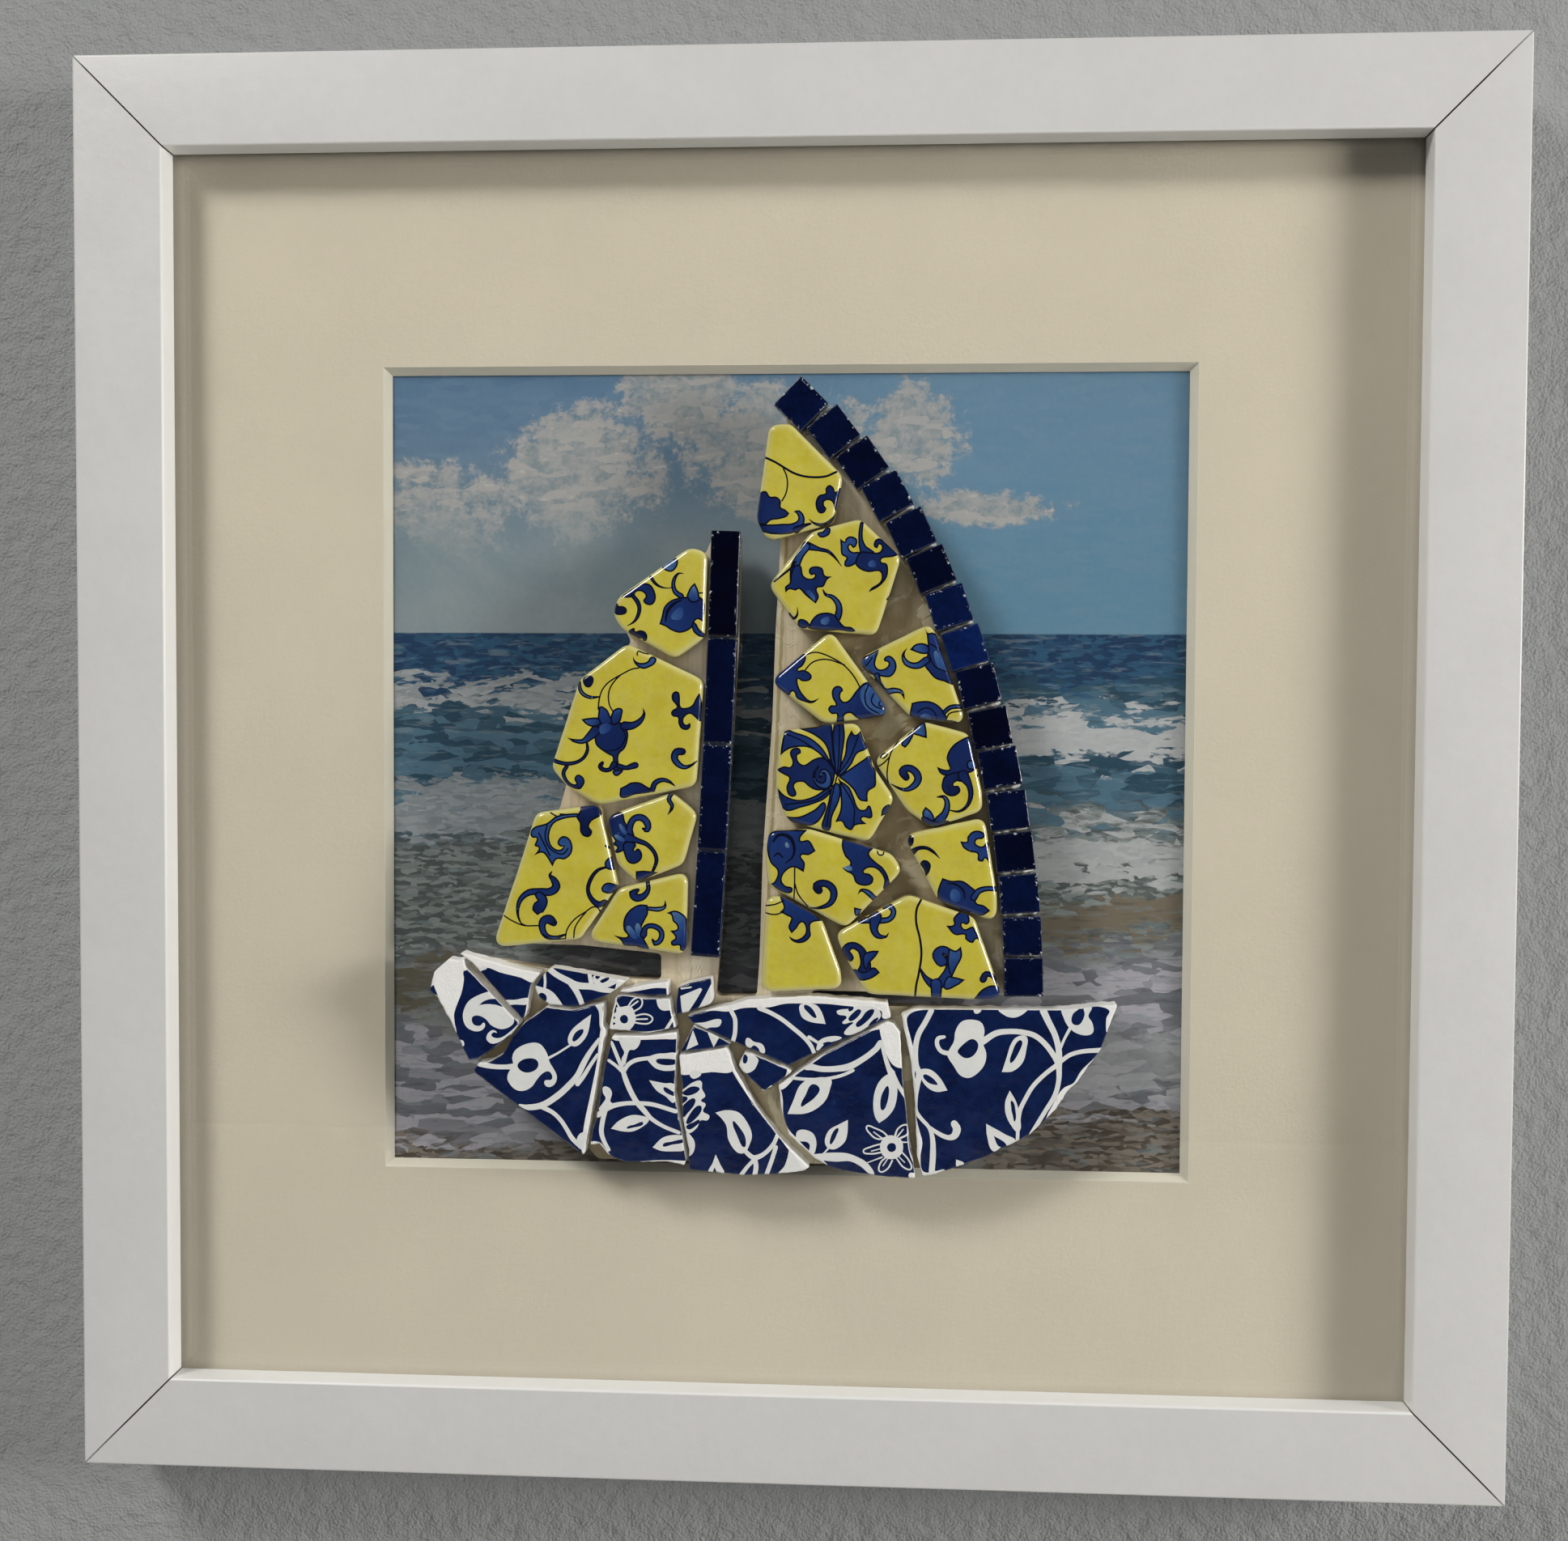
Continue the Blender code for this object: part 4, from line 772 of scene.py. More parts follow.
def seen_through(finish, share, **clear_links):
    """Mixes clear glass into a finish where the share is 1."""
    tree = finish.node_tree
    clear = made(tree, "ShaderNodeBsdfTransparent", clear_links)
    shader = Value(tree, tree.nodes["Principled BSDF"].outputs[0])
    mix = made(tree, "ShaderNodeMixShader", {0: share, 1: shader, 2: clear})
    wire(tree, mix, tree.nodes["Material Output"].inputs["Surface"])


# Finishes

def frame_reach(place):
    """The greater of a point's distances from the frame's middle, across and up."""
    across, _, up = parts(place)
    return most(abs(across), abs(up - MIDDLE_Z))


def white_lacquer(settings):
    finish, tree, place = new_material("white_lacquer")
    shade = mottle(tree, 60.0, 0.9, 9.0)
    colour = blended(shade, shade_of(settings.lacquer, 0.955), tuple(settings.lacquer))
    colour = blended(dust(tree, 2600.0, 0.25) * 0.25, colour, (0.42, 0.41, 0.37))
    # painted highlight: the narrow face inside the lip is painted whiter than the lacquer, standing in for the
    # light that catches it
    colour = blended(stretched(frame_reach(place), 0.1183, 0.1180), colour, (0.91, 0.90, 0.87))
    return feed(finish, Base_Color=colour, Roughness=stretched(shade, 0, 1, 0.34, 0.42),
                Normal=relief(tree, 420.0, 0.00006, 0.25), Coat_Weight=0.18, Coat_Roughness=0.25)


def clear_glass():
    finish, tree, _ = new_material("clear_pane")
    seen_through(finish, made(tree, "ShaderNodeLightPath", None, "Is Shadow Ray"), Color=(0.955, 0.965, 0.96))
    return feed(finish, Base_Color=(0.985, 0.995, 0.99), Roughness=0.02, IOR=1.5, Transmission_Weight=1.0)


def cream_mat(settings):
    finish, tree, place = new_material("cream_mat")
    core = stretched(frame_reach(place), WINDOW_HALF, WINDOW_HALF + 0.0002, 1.0, 0.0, smooth=False)
    colour = blended(mottle(tree, 38.0, 1.3, 16.0), shade_of(settings.card, 0.93), tuple(settings.card))
    colour = blended(core, colour, (0.52, 0.485, 0.40))
    return feed(finish, Base_Color=colour, Roughness=0.88, Specular_IOR_Level=0.12,
                Normal=relief(tree, 1500.0, 0.00004, 0.9))


def streaks(place, shift, scale, flat, detail=3.0):
    """Horizontal streaks, as brushed water."""
    return cloud(scaled(place, (scale, scale, scale * flat), shift), 1.0, detail, 0.6, 0.6)


def dabs(place, scale, flat, shift):
    """Flat brush dabs: one random value for each stretched cell."""
    bent = cloud(scaled(place, (scale * 0.5, scale * 0.5, scale * 0.5), shift), 1.0, 3.0, 0.6)
    moved = vector_math("ADD", scaled(place, (scale, scale, scale * flat), shift), bent * 2.2)
    cells = made(place.tree, "ShaderNodeTexVoronoi", {"Vector": moved, "Scale": 1.0}, "Color")
    return parts(cells, "ShaderNodeSeparateColor")[0]


def between(share, left, right):
    """A value that goes from left to right across the print."""
    return share * (right - left) + left


def foam_band(height, share, place, left, right, shift, strength):
    """A torn crest of surf. left and right hold its height and half breadth at either side."""
    off = abs(height - between(share, left[0], right[0])) / between(share, left[1], right[1])
    tears = streaks(place, (shift, 0, shift), 110.0, 2.6, 6.0)
    return stretched(1.18 - off + (tears * 1.5 + -0.85), 0.30, 0.52) * strength


# Puffs of cloud: middle across, middle up, half width, half height
PUFFS = ((-0.86, 0.66, 0.30, 0.14), (-0.52, 0.74, 0.28, 0.17), (-0.26, 0.92, 0.15, 0.14),
         (0.0, 0.80, 0.30, 0.17), (0.33, 0.86, 0.14, 0.17), (0.50, 0.655, 0.22, 0.05))


def print_sky(place, rise, side, big, small):
    """Blue with a broad warm grey cloud that melts into haze, and smaller clouds to the right."""
    right = stretched(side, -0.5, 0.5)
    low_air = blended(right, (0.142, 0.182, 0.198), (0.092, 0.196, 0.282))
    top_air = blended(right, (0.080, 0.150, 0.245), (0.105, 0.195, 0.290))
    air = blended(stretched(rise, 0.36, 1.0), low_air, top_air)
    air = blended(big * 0.30, air, (0.150, 0.225, 0.290))
    form = streaks(place, (1.3, 0, 2.7), 26.0, 1.3, 6.0)
    fine = cloud(scaled(place, (300.0, 300.0, 330.0)), 1.0, 6.0, 0.74)
    cover = None
    for across, up, wide, tall in PUFFS:
        reach = ((side - across) / wide) ** 2.0 + ((rise - up) / tall) ** 2.0
        cover = reach if cover is None else calc("MINIMUM", cover, reach)
    cover = 0.95 - cover + (form - 0.5) * 4.2 + (fine - 0.5) * 2.6
    shade = blended(stretched(fine, 0.38, 0.62), (0.190, 0.222, 0.240), (0.315, 0.305, 0.295))
    shade = blended(stretched(big, 0.45, 0.95), shade, (0.345, 0.325, 0.305))
    speck = stretched(small, 0.80, 1.0) * stretched(fine, 0.50, 0.60)
    shade = blended(speck * 0.6, shade, (0.46, 0.43, 0.40))
    haze = stretched(rise, 0.72, 0.50) * stretched(side, 0.25, -0.05)
    sky = blended(stretched(cover, -0.05, 0.45) * 0.92, air, shade)
    hazy = blended(stretched(form, 0.35, 0.65), (0.165, 0.210, 0.232), (0.232, 0.260, 0.272))
    return blended(haze * 0.90, sky, hazy)


def print_sea(place, rise, side, big, small):
    """Bands of water that wander across the height, two crests of surf, wet sand and sand."""
    share = stretched(side, -0.7, 0.7)
    wander = streaks(place, (3, 0, 5), 30.0, 2.6) - 0.5
    height = rise + wander * 0.16 + (big - 0.5) * 0.060 + (small - 0.5) * 0.030
    deep = blended(stretched(small, 0.2, 0.9), (0.005, 0.026, 0.072), (0.018, 0.066, 0.125))
    teal = blended(stretched(big, 0.2, 0.8), (0.015, 0.048, 0.078), (0.062, 0.128, 0.178))
    grey = blended(stretched(small, 0.2, 0.9), (0.072, 0.083, 0.079), (0.215, 0.232, 0.222))
    wet = blended(stretched(big, 0.2, 0.8), (0.135, 0.134, 0.148), (0.330, 0.315, 0.342))
    sand = blended(stretched(small, 0.2, 0.8), (0.066, 0.050, 0.034), (0.185, 0.155, 0.125))
    sea = blended(stretched(height, 0.225, 0.185), deep, teal)
    sea = blended(stretched(height + between(share, 0.0, -0.06), -0.14, -0.20), sea, grey)
    sea = blended(stretched(height + between(share, 0.05, 0.0), -0.40, -0.46), sea, wet)
    ochre = stretched(abs(height + 0.355), 0.060, 0.035) * stretched(side, 0.25, 0.55)
    sea = blended(ochre, sea, (0.145, 0.118, 0.080))
    pool = stretched(abs(height + 0.57), 0.10, 0.05) * stretched(side, -0.55, -0.80)
    sea = blended(pool, sea, (0.105, 0.092, 0.062))
    sea = blended(stretched(height - side * 0.05, -0.86, -0.90), sea, sand)
    streak = streaks(place, (2, 0, 8), 150.0, 6.0, 5.0)
    sea = blended(stretched(streak, 0.54, 0.64) * 0.50, sea, (0.145, 0.185, 0.205))
    sea = blended(stretched(streak, 0.44, 0.34) * 0.38, sea, (0.020, 0.031, 0.036))
    foam = foam_band(height, share, place, (0.192, 0.042), (0.082, 0.080), 11.0, 1.0)
    low_foam = foam_band(height, share, place, (-0.105, 0.095), (-0.195, 0.080), 15.0, 0.85)
    wash = foam_band(height, share, place, (-0.62, 0.05), (-0.72, 0.10), 21.0, 0.45)
    froth = blended(share, (0.185, 0.200, 0.210), (0.340, 0.345, 0.350))
    froth = blended(small * 0.50, froth, (0.44, 0.44, 0.435))
    return blended(most(most(foam, low_foam), wash), sea, froth)


def seascape_print():
    """A generic sea and sky in dabs and streaks, as a painted print."""
    finish, tree, place = new_material("seascape_print")
    across, _, up = parts(place)
    rise = (up - MIDDLE_Z) / WINDOW_HALF      # -1 at the window's bottom, 1 at its top
    side = across / WINDOW_HALF
    big = dabs(place, 190.0, 3.6, (3.1, 0, 1.7))
    small = dabs(place, 460.0, 3.4, (8.2, 0, 5.3))
    colour = blended(stretched(rise, 0.3425, 0.3455, smooth=False), print_sea(place, rise, side, big, small),
                     print_sky(place, rise, side, big, small))
    colour = blended(mottle(tree, 900.0, 1.5, 3.0) * 0.16, colour, (0.05, 0.065, 0.08))
    return feed(finish, Base_Color=colour, Roughness=0.6, Specular_IOR_Level=0.12,
                Normal=relief(tree, 2500.0, 0.00001, 0.5))


def fibre_board():
    finish, tree, _ = new_material("fibre_board")
    colour = blended(mottle(tree, 90.0, 1.2, 14.0), (0.13, 0.075, 0.040), (0.21, 0.135, 0.075))
    colour = blended(dust(tree, 1800.0, 0.6) * 0.5, colour, (0.33, 0.23, 0.14))
    return feed(finish, Base_Color=colour, Roughness=0.75, Normal=relief(tree, 1200.0, 0.00012, 0.8))


def zinc_plate():
    finish, tree, _ = new_material("zinc_plate")
    shade = mottle(tree, 420.0, 1.0, 4.0)
    return feed(finish, Base_Color=blended(shade, (0.40, 0.41, 0.42), (0.62, 0.63, 0.64)), Metallic=1.0,
                Roughness=stretched(shade, 0, 1, 0.32, 0.5), Normal=relief(tree, 900.0, 0.00003, 0.3))


def birch_plywood():
    finish, tree, place = new_material("birch_plywood")
    across, through, height = parts(place)
    grain = cloud(scaled(place, (900.0, 900.0, 34.0)), 1.0, 4.0, 0.6, 0.4)
    broad = cloud(scaled(place, (160.0, 160.0, 9.0)), 1.0, 3.0, 0.5, 0.3)
    pores = cloud(scaled(place, (2600.0, 2600.0, 160.0), (4, 0, 0)), 1.0, 2.0)
    colour = blended(stretched(broad, 0.3, 0.7), (0.68, 0.585, 0.415), (0.82, 0.74, 0.57))
    colour = blended(stretched(grain, 0.42, 0.68) * 0.55, colour, (0.54, 0.44, 0.29))
    colour = blended(stretched(pores, 0.62, 0.72) * 0.5, colour, (0.36, 0.27, 0.17))
    # painted shade: darker wood between the shards of the sail and of the hull, where the tall shards shade it
    up = height - MIDDLE_Z
    sail_edge = across - (up * 0.04585 + -0.0025)
    main_sail = stretched(sail_edge, 0.0030, 0.0080) * stretched(up, 0.064, 0.036)
    main_sail = main_sail * stretched(up, -0.0405, -0.038)
    painted_gap_shade = most(main_sail, stretched(up, -0.0405, -0.045))
    patchy = cloud(scaled(place, (1.0, 1.0, 1.0), (7, 0, 2)), 120.0, 4.0, 0.6)
    colour = blended(painted_gap_shade * stretched(patchy, 0.25, 0.60, 0.66, 0.90), colour, (0.21, 0.165, 0.085))
    # a dried yellow line of glue inside the main sail's edge
    from_line = abs(cloud(place, 300.0, 3.0) * 0.0006 + sail_edge - 0.0014)
    bead = stretched(from_line, 0.00042, 0.00022) * stretched(up, 0.052, 0.048) * stretched(up, -0.041, -0.040)
    colour = blended(bead * 0.75, colour, (0.33, 0.27, 0.085))
    # veneers at the sawn edge: three plies across the thickness
    layer = calc("PINGPONG", through - GLASS_FRONT, 0.0011)
    sideways = 1.0 - abs(parts(made(tree, "ShaderNodeNewGeometry", None, "Normal"))[1])
    ply = stretched(layer, 0.0004, 0.0006) * stretched(sideways, 0.3, 0.7)
    colour = blended(ply * 0.7, colour, (0.20, 0.13, 0.07))
    glue = stretched(cloud(place, 130.0, 4.0, 0.6, 1.2), 0.53, 0.60)
    colour = blended(glue * 0.30, colour, (0.78, 0.72, 0.52))
    return feed(finish, Base_Color=colour, Roughness=stretched(glue, 0, 1, 0.66, 0.22),
                Normal=bumped(glue * 0.8 + grain * -0.5, 0.00012))


def channels(tree, name):
    """The channels of one of a mesh's own colour attributes."""
    colour = made(tree, "ShaderNodeAttribute", None, "Color", attribute_type="GEOMETRY", attribute_name=name)
    return parts(colour, "ShaderNodeSeparateColor")


# How the ink deepens from tone 0 to 1: where, and its colour
INK_STOPS = ((0.03, (0.0015, 0.0028, 0.016)), (0.09, (0.0042, 0.0155, 0.092)), (0.30, (0.0085, 0.036, 0.175)),
             (0.55, (0.030, 0.092, 0.270)), (0.80, (0.105, 0.200, 0.340)), (1.0, (0.27, 0.36, 0.42)))


def yellow_glaze(settings):
    finish, tree, place = new_material("yellow_glaze")
    ink, tone, rim = channels(tree, "paint")
    red, green, blue = settings.yellow
    shade = mottle(tree, 150.0, 1.1, 6.0)
    ground = blended(shade, (red * 0.84, green * 0.77, blue * 0.9), tuple(settings.yellow))
    ground = blended(mottle(tree, 420.0, 0.8, 3.0) * 0.42, ground, (0.64, 0.58, 0.135))
    # the ground pales towards the rounded edge: partly glaze thinning over the edge, partly a painted highlight
    ground = blended(stretched(rim, 0.02, 0.45) * 0.80, ground, (0.74, 0.70, 0.30))
    brush = cloud(scaled(place, (700.0, 700.0, 500.0)), 1.0, 3.0, 0.6, 0.8)
    ramp = add_node(tree, "ShaderNodeValToRGB", {0: tone + (brush - 0.5) * (tone * 0.5 + 0.04)})
    stops = ramp.color_ramp.elements
    for index, (where, ink_colour) in enumerate(INK_STOPS):
        stop = stops[0] if index == 0 else stops[-1] if index == len(INK_STOPS) - 1 else stops.new(where)
        stop.position, stop.color = where, (*ink_colour, 1)
    colour = blended(ink, ground, Value(tree, ramp.outputs[0]))
    colour = blended(stretched(rim, 0.7, 0.8, smooth=False), colour, (0.60, 0.50, 0.20))
    colour = blended(dust(tree, 1500.0, 0.2) * 0.25, colour, (0.62, 0.60, 0.48))
    return feed(finish, Base_Color=colour, Roughness=stretched(shade, 0, 1, 0.16, 0.26),
                Normal=relief(tree, 380.0, 0.00009, 0.12), Coat_Weight=0.6, Coat_Roughness=0.06)


def blue_glaze(settings):
    finish, tree, place = new_material("blue_glaze")
    white, _, bare = channels(tree, "paint")
    shade = mottle(tree, 170.0, 1.3, 5.0)
    ground = blended(shade, shade_of(settings.cobalt, 0.50), (0.0022, 0.0165, 0.098))
    ground = blended(dust(tree, 700.0, 0.35) * 0.25, ground, (0.02, 0.06, 0.22))
    flower = blended(mottle(tree, 300.0, 1.0, 4.0) * 0.30, tuple(settings.white), (0.62, 0.66, 0.70))
    body = blended(mottle(tree, 900.0, 1.0, 4.0), (0.93, 0.915, 0.87), (0.995, 0.985, 0.96))
    is_bare = stretched(bare, 0.45, 0.55, smooth=False)
    height = cloud(place, 2600.0, 4.0, 0.7) * is_bare * 2.0 + relief(tree, 500.0, 0.00005, 0.2, 1)
    return feed(finish, Base_Color=blended(is_bare, blended(white, ground, flower), body),
                Roughness=is_bare * 0.55 + stretched(shade, 0, 1, 0.13, 0.22), Normal=bumped(height, 0.00007),
                Coat_Weight=0.6 - is_bare * 0.6, Coat_Roughness=0.06)


def dark_glass():
    finish, tree, place = new_material("dark_glass")
    # painted reflection: the tint attribute sets how blue each tile shows, standing in for the room it reflects
    reflected_blue, rim = (channels(tree, name)[0] for name in ("tint", "rim"))
    shade = mottle(tree, 260.0, 1.4, 4.0)
    dark = blended(shade, (0.0001, 0.0003, 0.0035), (0.0003, 0.0012, 0.013))
    blue = blended(shade, (0.0010, 0.006, 0.045), (0.0035, 0.018, 0.115))
    chipped = stretched(cloud(place, 1300.0, 4.0, 0.65), 0.60, 0.65) * stretched(rim, 0.35, 0.8)
    colour = blended(chipped, blended(reflected_blue, dark, blue), (0.62, 0.66, 0.70))
    colour = blended(stretched(rim, 0.86, 1.0) * 0.16, colour, (0.20, 0.25, 0.36))
    return feed(finish, Base_Color=colour, Roughness=chipped * 0.3 + 0.10,
                Normal=relief(tree, 300.0, 0.00010, 0.15),
                Coat_Weight=0.2, Coat_Roughness=0.05, Specular_IOR_Level=0.35)


def glue_finish():
    finish, tree, _ = new_material("dried_glue")
    shade = mottle(tree, 700.0, 1.0, 3.0)
    return feed(finish, Base_Color=blended(shade, (0.46, 0.44, 0.36), (0.72, 0.71, 0.66)),
                Roughness=stretched(shade, 0, 1, 0.18, 0.4), Normal=relief(tree, 1300.0, 0.00012, 0.2),
                Coat_Weight=0.5, Coat_Roughness=0.12)


# Mesh helpers

def merged_copy(node):
    """A bmesh of a CAD node with its loose triangles joined."""
    shape = bmesh.new()
    shape.from_mesh(NODES[node].data)
    bmesh.ops.remove_doubles(shape, verts=shape.verts, dist=1e-6)
    return shape


def counter_clockwise(outline):
    """A closed outline with its inside on the left."""
    area = np.sum(outline[:, 0] * np.roll(outline[:, 1], -1) - np.roll(outline[:, 0], -1) * outline[:, 1])
    return outline if area > 0 else outline[::-1]


def back_outline(node):
    """The outline of a shard's flat back, in millimetres on the boat's grid."""
    shape = merged_copy(node)
    deepest = max(vert.co.y for vert in shape.verts)
    back = {face for face in shape.faces if all(deepest - vert.co.y < 1e-5 for vert in face.verts)}
    follow = {}
    for edge in shape.edges:
        if sum(face in back for face in edge.link_faces) == 1:
            first, second = edge.verts
            follow.setdefault(first, []).append(second)
            follow.setdefault(second, []).append(first)
    start = next(iter(follow))
    loop, last, here = [start], None, start
    while True:
        step = next(vert for vert in follow[here] if vert is not last)
        if step is start:
            break
        loop.append(step)
        last, here = here, step
    outline = np.array([(vert.co.x, vert.co.z - MIDDLE_Z) for vert in loop]) / MILLIMETRE
    shape.free()
    return counter_clockwise(outline)


def resampled(outline, step):
    """Evenly spaced points along a closed outline."""
    closed = np.vstack([outline, outline[:1]])
    along = np.concatenate([[0], np.cumsum(np.linalg.norm(np.diff(closed, axis=0), axis=1))])
    places = np.linspace(0, along[-1], max(12, int(round(along[-1] / step))), endpoint=False)
    return np.column_stack([np.interp(places, along, closed[:, axis]) for axis in (0, 1)])


def inward(outline):
    """Unit vectors into a counter-clockwise closed outline."""
    ahead = np.roll(outline, -1, axis=0) - np.roll(outline, 1, axis=0)
    ahead /= np.maximum(np.linalg.norm(ahead, axis=1), 1e-9)[:, None]
    return np.column_stack([-ahead[:, 1], ahead[:, 0]])


def softened(outline, passes):
    for _ in range(passes):
        outline = (np.roll(outline, 1, axis=0) + 2 * outline + np.roll(outline, -1, axis=0)) / 4
    return outline


def wobble(points, pitch, seed):
    """Smooth noise between 0 and 1 at each point; pitch is its size in millimetres."""
    return np.array([0.5 + 0.5 * noise.noise(Vector((x / pitch, y / pitch, seed))) for x, y in points])


def smooth_line(points, sharp=(), closed=False, step=0.4):
    """Points along a smooth curve through the given ones. A sharp point keeps its corner."""
    count, made = len(points), []
    for index in range(count if closed else count - 1):
        first, second = points[index], points[(index + 1) % count]
        before = points[index - 1] if closed or index else first
        after = points[(index + 2) % count] if closed or index + 2 < count else second
        span = np.linalg.norm((second - first)[:2])
        if span < 1e-6:
            continue
        leave = (second - first if index in sharp else second - before)[:2]
        arrive = (second - first if (index + 1) % count in sharp else after - first)[:2]
        leave, arrive = (way * span / max(np.linalg.norm(way), 1e-6) for way in (leave, arrive))
        pieces = max(1, math.ceil(span / step))
        for part in range(pieces):
            t = part / pieces
            place = ((2 * t ** 3 - 3 * t ** 2 + 1) * first[:2] + (t ** 3 - 2 * t ** 2 + t) * leave
                     + (3 * t ** 2 - 2 * t ** 3) * second[:2] + (t ** 3 - t ** 2) * arrive)
            made.append([*place, *(first[2:] + (second[2:] - first[2:]) * t)])
    if not closed:
        made.append(list(points[-1]))
    return np.array(made)


def segment_reach(points, line, widths=None):
    """For each point, the most of half width minus distance over a line's segments, and its share along it."""
    first, second = line[:-1], line[1:]
    best = np.full(len(points), -1e9)
    share = np.zeros(len(points))
    lengths = np.concatenate([[0], np.cumsum(np.linalg.norm(second - first, axis=1))])
    for index in range(len(first)):
        way = second[index] - first[index]
        long = max(way @ way, 1e-12)
        t = np.clip(((points - first[index]) @ way) / long, 0, 1)
        gap = np.linalg.norm(points - first[index] - t[:, None] * way, axis=1)
        half = 0.0 if widths is None else (widths[index] + (widths[index + 1] - widths[index]) * t) / 2
        reach = half - gap
        better = reach > best
        best = np.where(better, reach, best)
        share = np.where(better, (lengths[index] + t * math.sqrt(long)) / max(lengths[-1], 1e-9), share)
    return best, share


def encloses(points, outline):
    """Which points lie inside a closed outline."""
    x, y = points[:, 0], points[:, 1]
    hits = np.zeros(len(points), bool)
    for (ax, ay), (bx, by) in zip(outline, np.roll(outline, -1, axis=0)):
        if ay != by:
            hits ^= ((ay > y) != (by > y)) & (x < (bx - ax) * (y - ay) / (by - ay) + ax)
    return hits


def depth_inside(points, outline):
    """Distance to the outline, positive inside."""
    gap = -segment_reach(points, np.vstack([outline, outline[:1]]))[0]
    return np.where(encloses(points, outline), gap, -gap)


class Mark:
    """One painted mark of a shard: its outline, how deep a point lies in it, and its tone there."""

    def __init__(self, middle, kind, numbers, start=0, end=0, *sharp):
        self.kind, self.tones = kind, (start, end)
        self.width_kind = kind in ("stroke", "whiteline")
        columns = 3 if self.width_kind else 2
        points = np.array(numbers, float).reshape(-1, columns) / 10
        points[:, :2] += middle
        if kind == "line":
            points = np.column_stack([points, np.full(len(points), 0.14 * start)])
            self.tones = (0.0, 0.0)
            self.width_kind = True
        self.line = smooth_line(points, set(sharp), closed=not self.width_kind)
        if self.width_kind:
            self.line[:, 2] = np.maximum(self.line[:, 2], 0.12)
        else:
            self.line = counter_clockwise(self.line)
        if not self.width_kind:
            self.from_point = points[0]
            self.towards = 2 * (self.line.mean(axis=0) - points[0])

    def depth(self, points):
        if self.width_kind:
            return segment_reach(points, self.line[:, :2], self.line[:, 2])[0]
        return depth_inside(points, self.line)

    def tone(self, points):
        if self.width_kind:
            share = segment_reach(points, self.line[:, :2], self.line[:, 2])[1]
        else:
            reach = max(self.towards @ self.towards, 1e-9)
            share = np.clip((points - self.from_point) @ self.towards / reach, 0, 1)
        return self.tones[0] + (self.tones[1] - self.tones[0]) * share

    def edge_line(self, inset):
        """The mark's outline moved inwards, or None where it is too thin."""
        if not self.width_kind:
            if not inset:
                return self.line
            moved = self.line + inward(self.line) * inset
            kept = moved[self.depth(moved) > inset * 0.8]
            return kept if len(kept) > 5 else None
        kept = self.line[self.line[:, 2] / 2 > inset + 0.03]
        if len(kept) < 2:
            return None
        centre, half = kept[:, :2], kept[:, 2] / 2 - inset
        ahead = np.gradient(centre, axis=0)
        ahead /= np.maximum(np.linalg.norm(ahead, axis=1), 1e-9)[:, None]
        side = np.column_stack([-ahead[:, 1], ahead[:, 0]])
        caps = []
        for end, way in ((-1, 1), (0, -1)):
            for turn in (-45, 0, 45):
                angle = math.radians(turn)
                caps.append(centre[end] + half[end] * (way * ahead[end] * math.cos(angle)
                                                      - side[end] * way * math.sin(angle)))
        left, right = centre + side * half[:, None], centre - side * half[:, None]
        return np.vstack([left, caps[:3], right[::-1], caps[3:]])


def triangulated(outline, lines, rings, pitch):
    """Triangles that fill an outline and follow every line and ring in it."""
    points, edges = [], []

    def add_closed(loop):
        start = len(points)
        points.extend(loop)
        edges.extend((start + index, start + (index + 1) % len(loop)) for index in range(len(loop)))

    add_closed(outline)
    for loop in rings + lines:
        add_closed(loop)
    taken = np.array(points)
    low, high = outline.min(axis=0), outline.max(axis=0)
    row_gap = pitch * math.sqrt(3) / 2
    seeds = [(x + (row % 2) * pitch / 2, low[1] + row * row_gap)
             for row in range(int((high[1] - low[1]) / row_gap) + 1)
             for x in np.arange(low[0], high[0], pitch)]
    seeds = np.array(seeds)
    seeds = seeds[depth_inside(seeds, outline) > 0.5]
    if len(seeds):
        nearest = np.array([np.min(np.sum((taken - seed) ** 2, axis=1)) for seed in seeds])
        points.extend(seeds[nearest > (pitch * 0.35) ** 2])
    verts, _, faces, *_ = geometry.delaunay_2d_cdt([Vector(point) for point in points], edges, [], 0, 1e-5)
    verts = np.array([(vert.x, vert.y) for vert in verts])
    faces = np.array([face for face in faces if len(face) == 3])
    centres = verts[faces].mean(axis=1)
    first, second, third = (verts[faces[:, corner]] for corner in range(3))
    area = (second - first)[:, 0] * (third - first)[:, 1] - (second - first)[:, 1] * (third - first)[:, 0]
    faces[area < 0] = faces[area < 0][:, ::-1]
    keep = encloses(centres, outline) & (np.abs(area) > 1e-7)
    return verts, faces[keep], centres[keep]


